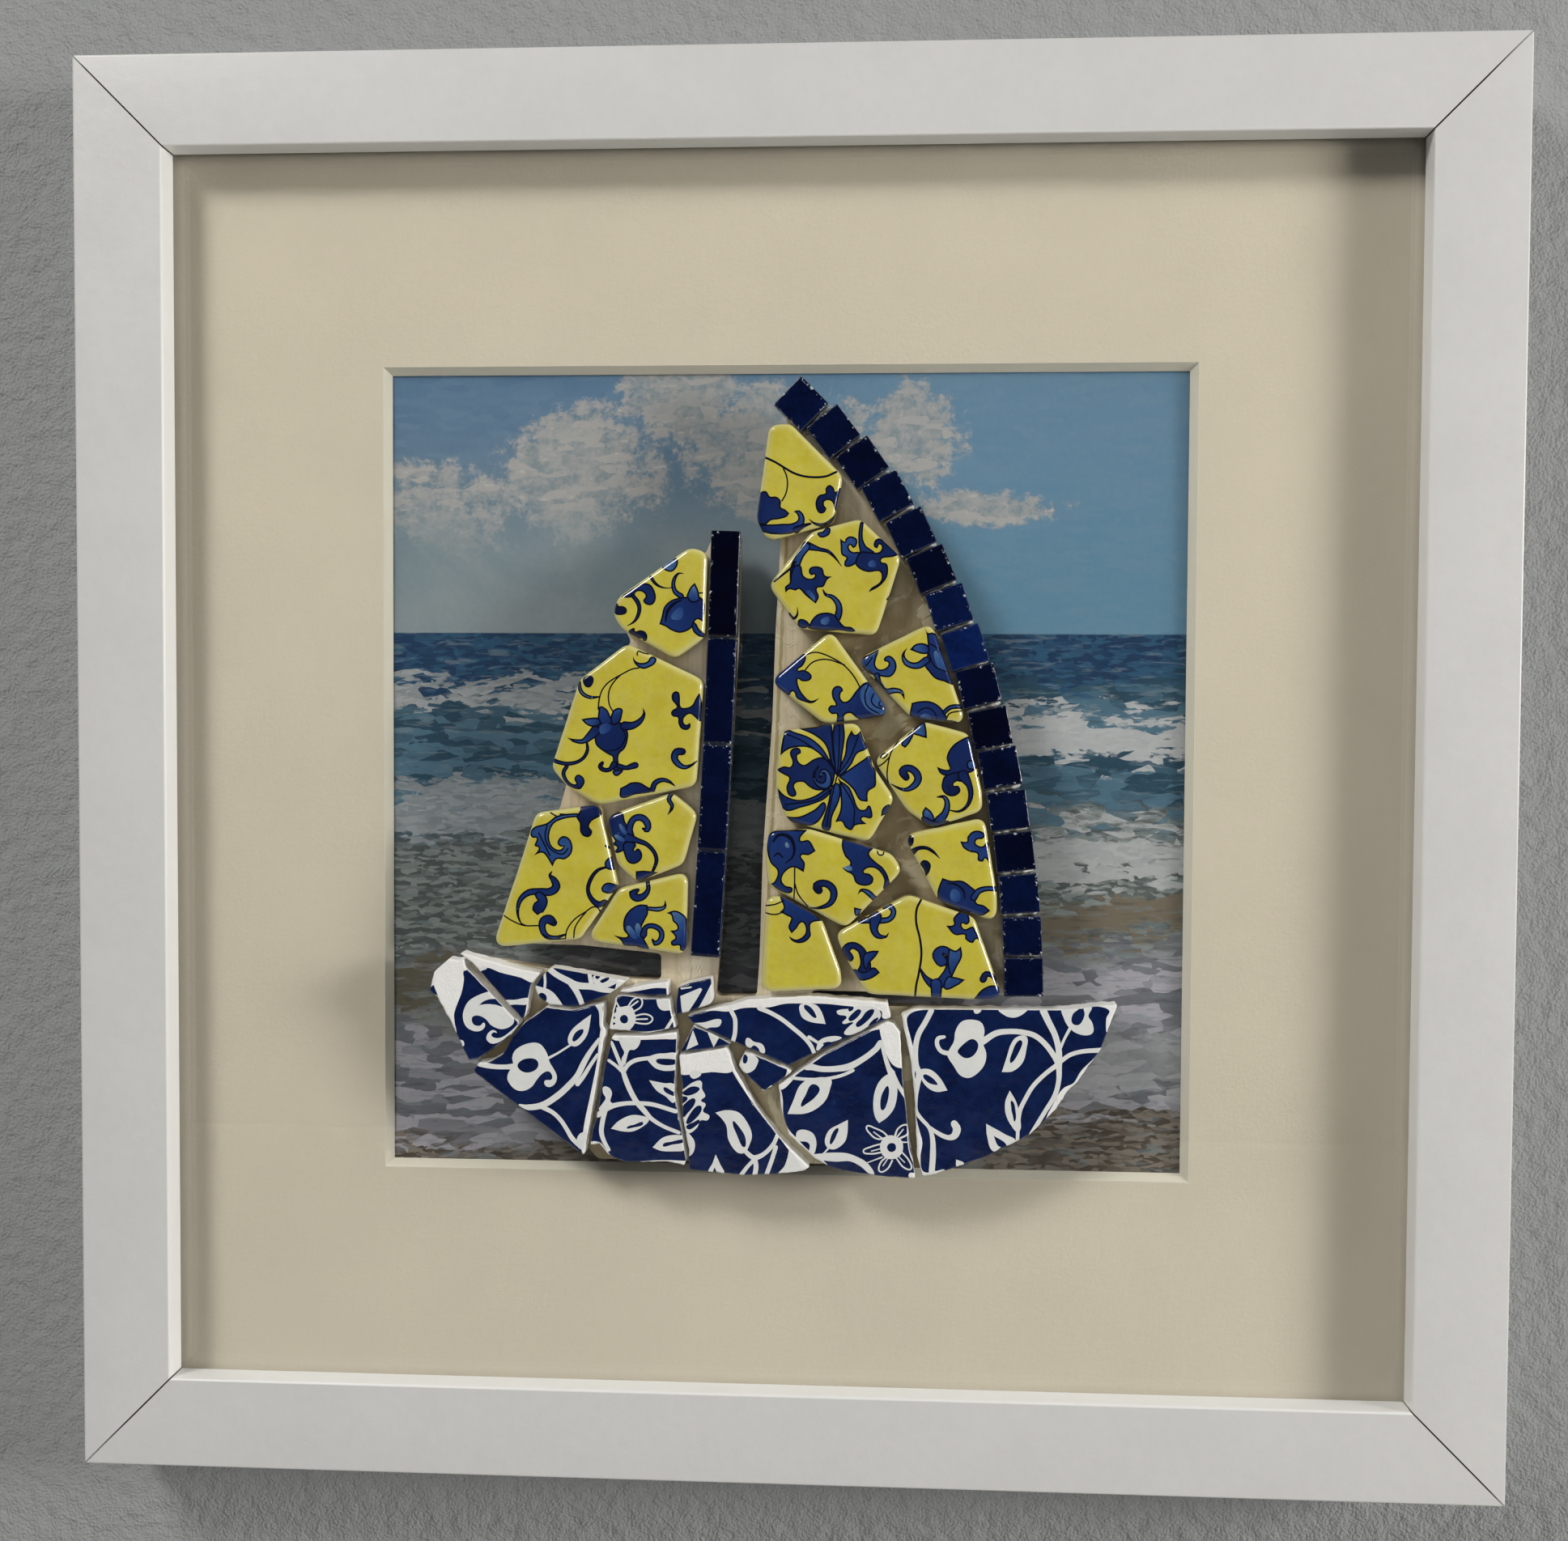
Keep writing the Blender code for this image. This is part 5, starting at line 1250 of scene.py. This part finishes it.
def shard_mesh(name, verts, faces, drop, slope, paint, front, broken):
    """A closed shard: painted front, straight walls and flat back. drop is millimetres back from the front."""
    used = np.unique(faces)
    index_of = {old: new for new, old in enumerate(used)}
    faces = np.vectorize(index_of.get)(faces)
    verts, drop, slope = verts[used], drop[used], slope[used]
    border = {(tri[first], tri[second]): True for tri in faces for first, second in ((0, 1), (1, 2), (2, 0))}
    rim = {first: second for first, second in border if (second, first) not in border}
    start = next(iter(rim))
    loop, here = [start], rim[start]
    while here != start and len(loop) <= len(rim):
        loop.append(here)
        here = rim[here]
    count = len(verts)
    depth = front + drop * MILLIMETRE
    coords = [(x * MILLIMETRE, y, z * MILLIMETRE + MIDDLE_Z) for (x, z), y in zip(verts, depth)]
    coords += [(verts[i][0] * MILLIMETRE, TILE_BACK, verts[i][1] * MILLIMETRE + MIDDLE_Z) for i in loop]
    polygons = [tuple(int(i) for i in tri) for tri in faces]
    size = len(loop)
    for place in range(size):
        after = (place + 1) % size
        polygons.append((loop[place], count + place, count + after, loop[after]))
    polygons.append(tuple(range(count + size - 1, count - 1, -1)))
    front_normals = np.column_stack([slope[:, 0], np.full(count, -1.0), slope[:, 1]])
    front_normals /= np.linalg.norm(front_normals, axis=1)[:, None]
    edge_points = verts[loop]
    outwards = -inward(edge_points)
    # the break flares outwards towards the back, unevenly
    flare = np.clip(wobble(edge_points, 1.6, front * 1000 + count) - 0.25, 0, 1) * broken
    for place, (way, out) in enumerate(zip(outwards, flare)):
        x, y, z = coords[count + place]
        coords[count + place] = (x + way[0] * out * MILLIMETRE, y, z + way[1] * out * MILLIMETRE)
    wall_normal = {vertex: (way[0], 0.0, way[1]) for vertex, way in zip(loop, outwards)}
    wall_normal.update({count + place: (way[0], 0.0, way[1]) for place, way in enumerate(outwards)})
    mesh = bpy.data.meshes.new(name)
    mesh.from_pydata(coords, [], [tuple(int(i) for i in polygon) for polygon in polygons])
    colours, normals = [], []
    for number, polygon in enumerate(mesh.polygons):
        corner_paint = paint[number] if number < len(faces) else None
        for corner, vertex in enumerate(polygon.vertices):
            if number < len(faces):
                normals.append(tuple(front_normals[vertex]))
                colours.append((*corner_paint[corner], 1.0))
            else:
                normals.append(wall_normal[vertex] if number < len(polygons) - 1 else (0.0, 1.0, 0.0))
                colours.append((0.0, 0.0, 1.0, 1.0))
    layer = mesh.color_attributes.new("paint", "FLOAT_COLOR", "CORNER")
    layer.data.foreach_set("color", np.array(colours, np.float32).ravel())
    mesh.polygons.foreach_set("use_smooth", [True] * len(mesh.polygons))
    mesh.normals_split_custom_set(normals)
    mesh.update()
    return mesh


def in_scene(name, data):
    item = bpy.data.objects.new(name, data)
    bpy.context.scene.collection.objects.link(item)
    return item


def add_piece(name, mesh, finish, slot_name, *nodes):
    """Puts a finished mesh in the scene, riding on the body, in place of its CAD nodes."""
    piece = in_scene(name, mesh)
    if not mesh.materials:
        mesh.materials.append(finish)
    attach(piece, "root")
    if nodes:
        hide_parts(*nodes)
    return piece


def dress_node(node, finish):
    """Gives a CAD node that stays as it is its finish."""
    piece = NODES[node]
    for place in piece.material_slots:
        place.link = "OBJECT"
        place.material = finish
    return piece


def paint_at_corners(marks, verts, faces, centres, ink_line, rim_depth, glazed):
    """Ornament, tone and rim at each corner of each triangle, in painter's order."""
    paint = np.zeros((len(faces), 3, 3))
    paint[:, :, 2] = rim_depth[faces]
    for mark in marks:
        near = (centres > mark.line[:, :2].min(axis=0) - 3).all(axis=1)
        near &= (centres < mark.line[:, :2].max(axis=0) + 3).all(axis=1)
        chosen = np.flatnonzero(near)
        if not len(chosen):
            continue
        depth = mark.depth(centres[chosen])
        inside = chosen[depth > 0]
        if not len(inside):
            continue
        if not glazed:
            paint[inside, :, 0] = 1.0 if mark.kind in ("white", "whiteline") else 0.0
            paint[inside, :, 2] = 1.0 if mark.kind == "bare" else 0.0
            continue
        tones = mark.tone(verts[faces[inside]].reshape(-1, 2)).reshape(-1, 3)
        paint[inside, :, 0] = 1.0
        if mark.kind == "patch":
            paint[inside, :, 1] = tones
            continue
        full = depth[depth > 0] > (ink_line if mark.kind != "line" else 9.0)
        paint[inside, :, 1] = np.where(full[:, None], tones, 0.02)
    return paint


def surface_depth(points, outline, settings, seed, glazed):
    """How far back from the front plane the surface lies at each point, in millimetres."""
    edge = np.maximum(depth_inside(points, outline), 0.0)
    rise = 0.09 * wobble(points, 5.5, seed) + 0.03 * wobble(points, 1.7, seed + 5)
    if glazed:
        width, depth = settings.pillow_width / MILLIMETRE, settings.pillow_depth / MILLIMETRE
        near = np.clip(1 - edge / width, 0, 1)
        return rise + depth * (1 - np.sqrt(np.maximum(1 - near ** 2, 0.0)))
    near = np.clip(1 - edge / 0.28, 0, 1)
    return rise + 0.26 * near ** 2


def build_shard(node, settings, finish, glazed, seed):
    """One shard of a sail (glazed over a rounded edge) or of the hull (a broken plate)."""
    outline = resampled(back_outline(node), 0.38 if glazed else 0.34)
    if glazed:
        outline = softened(outline, 4)
        outline = outline + inward(outline) * (0.10 * wobble(outline, 2.6, seed) - 0.15)[:, None]
    else:
        rough = 0.16 * wobble(outline, 1.1, seed) + 0.14 * wobble(outline, 3.4, seed + 3) - 0.20
        outline = outline + inward(outline) * rough[:, None]
    low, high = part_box(node)
    middle = ((low.x + high.x) / 2 / MILLIMETRE, ((low.z + high.z) / 2 - MIDDLE_Z) / MILLIMETRE)
    marks = [Mark(middle, *mark) for mark in MARKS.get(node, ())]
    ink_line = settings.ink_line / MILLIMETRE
    lines = []
    for mark in marks:
        insets = (0.0, ink_line) if glazed and mark.kind in ("leaf", "stroke") else (0.0,)
        for inset in insets:
            line = mark.edge_line(inset)
            if line is not None:
                lines.append(line)
    rings = []
    for inset in ((0.14, 0.32, 0.58, 0.95) if glazed else (0.12, 0.30)):
        ring = outline + inward(outline) * inset
        kept = ring[depth_inside(ring, outline) > inset * 0.85]
        if len(kept) > 8:
            rings.append(kept)
    verts, faces, centres = triangulated(outline, lines, rings, 1.15)
    drop = surface_depth(verts, outline, settings, seed, glazed)
    tiny = 0.03
    slope = np.column_stack([
        (surface_depth(verts + step, outline, settings, seed, glazed)
         - surface_depth(verts - step, outline, settings, seed, glazed)) / (2 * tiny)
        for step in (np.array((tiny, 0.0)), np.array((0.0, tiny)))])
    slope = np.clip(slope, -4, 4)
    edge = depth_inside(verts, outline)
    # nearness to the edge, for the pale band that is partly a painted highlight
    rim = np.clip(1 - edge / 1.3, 0, 1) * 0.5 if glazed else np.zeros(len(verts))
    paint = paint_at_corners(marks, verts, faces, centres, ink_line, rim, glazed)
    if not glazed:
        bare = (paint[:, 0, 2] > 0.5)
        chipped = np.zeros(len(verts))
        chipped[np.unique(faces[bare])] = 1.0
        chipped[np.unique(faces[~bare])] = 0.0
        drop = drop + chipped * (0.10 + 0.28 * wobble(verts, 0.9, seed + 9))
    mesh = shard_mesh(f"{node}_glazed", verts, faces, drop, slope, paint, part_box(node)[0].y,
                      0.0 if glazed else 0.38)
    return add_piece(f"{node}_glazed", mesh, finish, "yellow_glaze" if glazed else "blue_glaze", node)


# Rails

def rail_section(settings, steps=8):
    """A rail's section, counter-clockwise from the lip: distance in from the outer edge, and depth."""
    radius, face = settings.edge_round, settings.rail_face
    seat = GLASS_FRONT - 0.0003

    def arc(inward_centre, start):
        return [(inward_centre + radius * math.cos(start - part / steps * math.pi / 2),
                 RAIL_FRONT + radius + radius * math.sin(start - part / steps * math.pi / 2))
                for part in range(steps + 1)]

    lip = arc(face - radius, 0.0)
    outer = arc(radius, -math.pi / 2)
    return lip + outer + [(0.0, RAIL_BACK), (face - settings.rebate, RAIL_BACK),
                          (face - settings.rebate, seat), (face, seat)]


def rail_mesh(name, turn, settings):
    """A mitred rail, made along X at the top and turned about the frame's middle."""
    section = rail_section(settings)
    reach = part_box("top_rail")[1].z - MIDDLE_Z
    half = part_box("top_rail")[1].x
    stations = (-1.0, -0.995, -0.5, 0.0, 0.5, 0.995, 1.0)
    coords, polygons = [], []
    for station in stations:
        coords += [(station * (half - into), depth, reach - into) for into, depth in section]
    size = len(section)
    for row in range(len(stations) - 1):
        for place in range(size):
            after = (place + 1) % size
            polygons.append((row * size + place, row * size + after,
                             (row + 1) * size + after, (row + 1) * size + place))
    polygons.append(tuple(range(size - 1, -1, -1)))
    polygons.append(tuple(range((len(stations) - 1) * size, len(stations) * size)))
    mesh = bpy.data.meshes.new(name)
    mesh.from_pydata(coords, [], polygons)
    mesh.transform(Matrix.Translation((0, 0, MIDDLE_Z)) @ Matrix.Rotation(turn, 4, "Y"))
    shape = bmesh.new()
    shape.from_mesh(mesh)
    bmesh.ops.recalc_face_normals(shape, faces=shape.faces)
    for edge in shape.edges:
        edge.smooth = len(edge.link_faces) == 2 and edge.calc_face_angle(0.0) < math.radians(35)
    for face in shape.faces:
        face.smooth = True
    shape.to_mesh(mesh)
    shape.free()
    return mesh


# Tiles, with Geometry Nodes

def row_way(nodes, index):
    """Direction of a row of tiles at one of them."""
    ends = []
    for node in (nodes[max(0, index - 1)], nodes[min(len(nodes) - 1, index + 1)]):
        low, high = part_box(node)
        ends.append(np.array([low.x + high.x, low.z + high.z]) / 2)
    return ends[1] - ends[0]


def tile_frame(node, way):
    """Middle, direction along the row and size of a CAD tile, on the boat's grid in millimetres."""
    outline = back_outline(node)
    sides = np.roll(outline, -1, axis=0) - outline
    lengths = np.linalg.norm(sides, axis=1)
    units = sides / lengths[:, None]
    long = max((unit for unit, length in zip(units, lengths) if length > 0.4 * lengths.max()),
               key=lambda unit: abs(unit @ way))
    across = np.array([-long[1], long[0]])
    span_long, span_across = np.ptp(outline @ long), np.ptp(outline @ across)
    middle = ((outline @ long).max() + (outline @ long).min()) / 2 * long \
        + ((outline @ across).max() + (outline @ across).min()) / 2 * across
    return middle, long, span_long, span_across


def tile_tree():
    """Geometry Nodes: a bevelled tile on every point, turned and stretched by the point's own values."""
    tree = bpy.data.node_groups.new("Bevelled Tiles", "GeometryNodeTree")
    (points, length, width, thickness, edge_round, chip_depth, seed, finish), out = open_group(tree, {
        "Points": ("Geometry", None), "Tile Length": ("Float", 0.007), "Tile Width": ("Float", 0.007),
        "Tile Thickness": ("Float", 0.004), "Edge Round": ("Float", 0.0004), "Chip Depth": ("Float", 0.0002),
        "Seed": ("Int", 7), "Finish": ("Material", None)}, {"Tiles": "Geometry"})
    size = made(tree, "ShaderNodeCombineXYZ", {0: length, 1: thickness, 2: width})
    block = made(tree, "GeometryNodeMeshCube", {
        "Size": size, "Vertices X": 30, "Vertices Y": 6, "Vertices Z": 30}, "Mesh")
    place = made(tree, "GeometryNodeInputPosition")
    half = vector_math("SCALE", size, 0.5)
    radius = made(tree, "ShaderNodeCombineXYZ", dict.fromkeys(range(3), edge_round))
    core = vector_math("SUBTRACT", half, radius)
    reach = vector_math("ABSOLUTE", place)
    beyond = vector_math("MAXIMUM", vector_math("SUBTRACT", reach, core), (0.0, 0.0, 0.0))
    pushed = vector_math("SCALE", vector_math("NORMALIZE", beyond), edge_round)
    rounded = vector_math("ADD", vector_math("MINIMUM", reach, core), pushed)
    shaped = vector_math("MULTIPLY", rounded, vector_math("SIGN", place))
    across, _, up = parts(vector_math("SUBTRACT", half, reach))
    rim = stretched(calc("MINIMUM", across, up), 0.0, 0.0011, 1.0, 0.0)
    marked = made(tree, "GeometryNodeStoreNamedAttribute", {"Geometry": block, "Name": "rim", "Value": rim},
                  data_type="FLOAT", domain="POINT")
    round_block = made(tree, "GeometryNodeSetPosition", {"Geometry": marked, "Position": shaped})
    turn, stretch, edge = (
        made(tree, "GeometryNodeInputNamedAttribute", {"Name": name}, data_type=kind)
        for name, kind in (("turn", "FLOAT_VECTOR"), ("stretch", "FLOAT_VECTOR"), ("rim", "FLOAT")))
    copies = made(tree, "GeometryNodeInstanceOnPoints", {
        "Points": points, "Instance": round_block, "Scale": stretch,
        "Rotation": made(tree, "FunctionNodeEulerToRotation", {0: turn})})
    solid = made(tree, "GeometryNodeRealizeInstances", {"Geometry": copies})
    # chips: the rim is pushed in where the noise is high
    where = vector_math("ADD", made(tree, "GeometryNodeInputPosition"),
                        made(tree, "ShaderNodeCombineXYZ", {0: seed}))
    bite = stretched(cloud(where, 900.0, 3.0, 0.6), 0.58, 0.70) * edge
    bite = (bite + cloud(where, 210.0, 2.0, 0.5) * 0.25) * chip_depth
    offset = vector_math("SCALE", made(tree, "GeometryNodeInputNormal"), bite * -1.0)
    chipped = made(tree, "GeometryNodeSetPosition", {"Geometry": solid, "Offset": offset})
    smooth = made(tree, "GeometryNodeSetShadeSmooth", {"Geometry": chipped})
    wire(tree, made(tree, "GeometryNodeSetMaterial", {"Geometry": smooth, "Material": finish}), out.inputs[0])
    return tree


def tile_row(name, nodes, reflection_blues, settings, finish):
    """All tiles of a row as one mesh, each in its CAD tile's place and size."""
    frames = [tile_frame(node, row_way(nodes, index)) for index, node in enumerate(nodes)]
    length = float(np.mean([place[2] for place in frames])) * MILLIMETRE + settings.extra_length
    width = float(np.mean([place[3] for place in frames])) * MILLIMETRE
    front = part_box(nodes[0])[0].y
    points = bpy.data.meshes.new(name + "_places")
    points.from_pydata([(middle[0] * MILLIMETRE, (front + TILE_BACK) / 2, middle[1] * MILLIMETRE + MIDDLE_Z)
                        for middle, *_ in frames], [], [])
    for label, kind in (("turn", "FLOAT_VECTOR"), ("stretch", "FLOAT_VECTOR"), ("tint", "FLOAT")):
        points.attributes.new(label, kind, "POINT")
    turn, stretch, tint = (points.attributes[label] for label in ("turn", "stretch", "tint"))
    for index, (_, long, span_long, span_across) in enumerate(frames):
        turn.data[index].vector = (0.0, math.atan2(-long[1], long[0]), 0.0)
        stretch.data[index].vector = (
            (span_long * MILLIMETRE + settings.extra_length) / length, 1.0, span_across * MILLIMETRE / width)
        # the tint holds the tile's painted reflection: how blue it shows
        tint.data[index].value = reflection_blues[index % len(reflection_blues)]
    holder = in_scene(name + "_holder", points)
    modifier = holder.modifiers.new("Tiles", "NODES")
    tree = bpy.data.node_groups.get("Bevelled Tiles") or tile_tree()
    modifier.node_group = tree
    values = {"Tile Length": length, "Tile Width": width, "Tile Thickness": TILE_BACK - front,
              "Edge Round": settings.edge_round, "Chip Depth": settings.chip_depth,
              "Seed": settings.seed, "Finish": finish}
    for item in tree.interface.items_tree:
        if item.item_type == "SOCKET" and item.in_out == "INPUT" and item.name in values:
            modifier[item.identifier] = values[item.name]
    graph = bpy.context.evaluated_depsgraph_get()
    graph.update()
    mesh = bpy.data.meshes.new_from_object(holder.evaluated_get(graph))
    mesh.name = name
    bpy.data.objects.remove(holder)
    return add_piece(name, mesh, finish, "dark_tile", *nodes)


# Glue

def glue_bead(coords, polygons, first, second, width, depth, seed):
    """A low rounded bead of dried glue from the first to the second point, on the tiles' grid."""
    way = second - first
    long = np.linalg.norm(way)
    if long < 0.3:
        return
    way = way / long
    side = np.array([-way[1], way[0]])
    rows, ring = max(4, int(long / 0.45)), 7
    base = len(coords)
    for row in range(rows + 1):
        share = row / rows
        middle = first + way * long * share
        swell = 0.75 + 0.5 * noise.noise(Vector((middle[0] * 0.9, middle[1] * 0.9, seed)))
        taper = math.sqrt(max(0.0, 1 - (2 * share - 1) ** 6)) + 0.02
        for place in range(ring):
            angle = math.pi * place / (ring - 1)
            across = middle + side * math.cos(angle) * width / 2 * taper
            height = depth * math.sin(angle) * taper * swell
            coords.append((across[0] * MILLIMETRE, TILE_BACK + 0.0001 - height * MILLIMETRE,
                           across[1] * MILLIMETRE + MIDDLE_Z))
    for row in range(rows):
        for place in range(ring - 1):
            here = base + row * ring + place
            polygons.append((here, here + 1, here + ring + 1, here + ring))
        polygons.append((base + row * ring, base + (row + 1) * ring, base + (row + 1) * ring + ring - 1,
                         base + row * ring + ring - 1))
    polygons.append(tuple(range(base, base + ring))[::-1])
    polygons.append(tuple(range(base + rows * ring, base + (rows + 1) * ring)))


def glue_mesh():
    """Beads of glue in the joints between neighbouring tiles of each row."""
    coords, polygons = [], []
    for row, depth in ((EDGE_TILES, 3.3), (MAST_TILES, 3.0)):
        frames = [tile_frame(node, row_way(row, index)) for index, node in enumerate(row)]
        for index, (here, after) in enumerate(zip(frames, frames[1:])):
            middle = (here[0] + after[0]) / 2
            way = after[0] - here[0]
            way = way / np.linalg.norm(way)
            side = np.array([-way[1], way[0]])
            reach = min(here[3], after[3]) / 2 * 0.95
            gap = np.linalg.norm(after[0] - here[0]) - (here[2] + after[2]) / 2
            glue_bead(coords, polygons, middle - side * reach, middle + side * reach,
                      max(0.5, gap), depth, 3.0 * index)
    mesh = bpy.data.meshes.new("glue_lines")
    mesh.from_pydata(coords, [], polygons)
    shape = bmesh.new()
    shape.from_mesh(mesh)
    bmesh.ops.recalc_face_normals(shape, faces=shape.faces)
    for face in shape.faces:
        face.smooth = len(face.verts) == 4
    shape.to_mesh(mesh)
    shape.free()
    return mesh


# Operators

class BOAT_OT_rails(bpy.types.Operator):
    """Build the four mitred rails and paint them"""
    bl_idname = "boat_picture.rails"
    bl_label = "Rails"

    def execute(self, context):
        settings = context.scene.boat_frame
        finish = white_lacquer(settings)
        for index, name in enumerate(RAIL_NAMES):
            mesh = rail_mesh(f"{name}_painted", math.radians(90 * index), settings)
            add_piece(f"{name}_painted", mesh, finish, "white_paint", name)
        return {"FINISHED"}


class BOAT_OT_layers(bpy.types.Operator):
    """Finish the pane, the mat, the print, the backing board and the hanger"""
    bl_idname = "boat_picture.layers"
    bl_label = "Pane, Mat and Print"

    def execute(self, context):
        dress_node("glass_pane", clear_glass())
        dress_node("mat_board", cream_mat(context.scene.boat_frame))
        dress_node("printed_seascape", seascape_print())
        dress_node("backing_board", fibre_board())
        dress_node("sawtooth_hanger", zinc_plate())
        return {"FINISHED"}


class BOAT_OT_plywood(bpy.types.Operator):
    """Give the sawn plywood boat its grain and glue smears"""
    bl_idname = "boat_picture.plywood"
    bl_label = "Plywood Boat"

    def execute(self, context):
        dress_node("plywood_boat", birch_plywood())
        return {"FINISHED"}


class BOAT_OT_sails(bpy.types.Operator):
    """Build the yellow shards of both sails with their painted leaves"""
    bl_idname = "boat_picture.sails"
    bl_label = "Sail Shards"

    def execute(self, context):
        settings = context.scene.boat_glaze
        finish = yellow_glaze(settings)
        for index, node in enumerate(SAIL_SHARDS):
            build_shard(node, settings, finish, True, 11.0 * index + 2)
        return {"FINISHED"}


class BOAT_OT_hull(bpy.types.Operator):
    """Build the blue and white plate shards of the hull"""
    bl_idname = "boat_picture.hull"
    bl_label = "Hull Shards"

    def execute(self, context):
        settings = context.scene.boat_glaze
        finish = blue_glaze(settings)
        for index, node in enumerate(HULL_SHARDS):
            build_shard(node, settings, finish, False, 7.0 * index + 100)
        return {"FINISHED"}


class BOAT_OT_tiles(bpy.types.Operator):
    """Set the dark glass tiles along the sail's edge and the mast, with glue in their joints"""
    bl_idname = "boat_picture.tiles"
    bl_label = "Glass Tiles"

    def execute(self, context):
        settings = context.scene.boat_tiles
        finish = dark_glass()
        tile_row("sail_edge_glass", EDGE_TILES, EDGE_REFLECTION_BLUES, settings, finish)
        tile_row("mast_glass", MAST_TILES, MAST_REFLECTION_BLUES, settings, finish)
        add_piece("glue_lines", glue_mesh(), glue_finish(), "dark_tile")
        return {"FINISHED"}


class BOAT_OT_stage(bpy.types.Operator):
    """Set the wall, the floor, the lights and the camera"""
    bl_idname = "boat_picture.stage"
    bl_label = "Stage"

    def execute(self, context):
        build_stage()
        build_lights()
        build_camera()
        return {"FINISHED"}


# Painted reflection: how blue each tile shows, from the top of the sail down, standing in for the room it
# reflects
EDGE_REFLECTION_BLUES = (0.35, 0.25, 0.15, 0.3, 0.25, 0.1, 0.55, 1.0, 0.15, 0.05, 0.2, 0.25, 0.1, 0.35, 0.3, 0.25)
MAST_REFLECTION_BLUES = (0.0, 0.2, 0.25, 0.3)

CAMERA_PLACE = (0.0170, -0.3194, -0.1034)
CAMERA_AXES = ((0.99849, 0.05463, 0.00519), (-0.00696, 0.03233, 0.99945), (0.05443, -0.99798, 0.03266))
CAMERA_LENS = 37.34


def plain_sheet(name, corners, colour, one_sided):
    """A flat sheet of the stage with a soft cloudy finish."""
    mesh = bpy.data.meshes.new(name)
    mesh.from_pydata(corners, [], [(0, 1, 2, 3)])
    sheet = in_scene(name, mesh)
    finish, tree, _ = new_material(name)
    base = blended(mottle(tree, 5.0, 1.0, 7.0), shade_of(colour, 0.93), colour)
    feed(finish, Base_Color=base, Roughness=0.9, Normal=relief(tree, 300.0, 0.0011, 0.45))
    if one_sided:
        # seen from behind, and for light on its way to the frame's back, the sheet is clear
        seen_through(finish, most(made(tree, "ShaderNodeNewGeometry", None, "Backfacing"),
                                  made(tree, "ShaderNodeLightPath", None, "Is Shadow Ray")))
    mesh.materials.append(finish)
    return sheet


def build_stage():
    wall_y, floor_z, reach = RAIL_BACK + 0.0006, -0.75, 1.6
    plain_sheet("studio_wall", [(-reach, wall_y, floor_z), (reach, wall_y, floor_z),
                                (reach, wall_y, 1.2), (-reach, wall_y, 1.2)], (0.375, 0.385, 0.378), True)
    plain_sheet("studio_floor", [(-reach, -2.2, floor_z), (reach, -2.2, floor_z),
                                 (reach, wall_y, floor_z), (-reach, wall_y, floor_z)], (0.62, 0.61, 0.58), False)


def add_light(name, place, target, size, power, colour):
    data = bpy.data.lights.new(name, "AREA")
    data.shape, data.size, data.energy, data.color = "DISK", size, power, colour
    lamp = in_scene(name, data)
    lamp.location = place
    lamp.visible_transmission = False
    lamp.rotation_euler = (Vector(target) - Vector(place)).to_track_quat("-Z", "Y").to_euler()
    return lamp


def build_lights():
    middle = (0.0, 0.0, MIDDLE_Z)
    add_light("window_light", (-0.715, -0.753, 0.774), middle, 0.34, 8.6, (1.0, 0.985, 0.96))
    add_light("side_light", (1.05, -0.43, 0.02), middle, 0.27, 8.3, (1.0, 0.98, 0.95))
    add_light("front_fill", (0.0, -1.9, 0.1), middle, 1.5, 7.0, (0.97, 0.97, 0.99)).visible_glossy = False
    add_light("rear_light", (0.30, 1.25, 0.25), middle, 0.9, 5.5, (1.0, 0.99, 0.97)).visible_glossy = False
    world = bpy.data.worlds.new("studio_air")
    world.use_nodes = True
    colour, strength = world.node_tree.nodes["Background"].inputs[:2]
    colour.default_value, strength.default_value = (0.80, 0.86, 0.92, 1), 0.045
    bpy.context.scene.world = world
    bpy.context.scene.view_settings.view_transform = "Standard"


def build_camera():
    data = bpy.data.cameras.new("photo_camera")
    data.lens, data.sensor_width, data.clip_start = CAMERA_LENS, 36.0, 0.01
    camera = in_scene("photo_camera", data)
    camera.matrix_world = Matrix.Translation(CAMERA_PLACE) @ Matrix(CAMERA_AXES).transposed().to_4x4()
    bpy.context.scene.camera = camera


class BOAT_PT_panel(bpy.types.Panel):
    """The boat picture's pieces and their sizes"""
    bl_idname = "BOAT_PT_panel"
    bl_label = "Boat Picture"
    bl_space_type = "VIEW_3D"
    bl_region_type = "UI"
    bl_category = "Boat Picture"

    def draw(self, context):
        for label, group in (("Frame", context.scene.boat_frame), ("Glaze", context.scene.boat_glaze),
                             ("Tiles", context.scene.boat_tiles)):
            box = self.layout.box()
            box.label(text=label)
            for name in group.bl_rna.properties.keys():
                if name not in ("rna_type", "name"):
                    box.prop(group, name)
        column = self.layout.column()
        for operator in OPERATORS:
            column.operator(operator.bl_idname)


OPERATORS = (BOAT_OT_rails, BOAT_OT_layers, BOAT_OT_plywood, BOAT_OT_sails, BOAT_OT_hull, BOAT_OT_tiles,
             BOAT_OT_stage)
SETTINGS = (("boat_frame", FrameSettings), ("boat_glaze", GlazeSettings), ("boat_tiles", TileSettings))
CLASSES = (FrameSettings, GlazeSettings, TileSettings) + OPERATORS + (BOAT_PT_panel,)


def register():
    for kind in CLASSES:
        bpy.utils.register_class(kind)
    for name, kind in SETTINGS:
        setattr(bpy.types.Scene, name, bpy.props.PointerProperty(type=kind))


def unregister():
    for name, _ in SETTINGS:
        delattr(bpy.types.Scene, name)
    for kind in reversed(CLASSES):
        bpy.utils.unregister_class(kind)


def main():
    register()
    for operator in OPERATORS:
        family, name = operator.bl_idname.split(".")
        getattr(getattr(bpy.ops, family), name)()


if __name__ == "__main__":
    main()
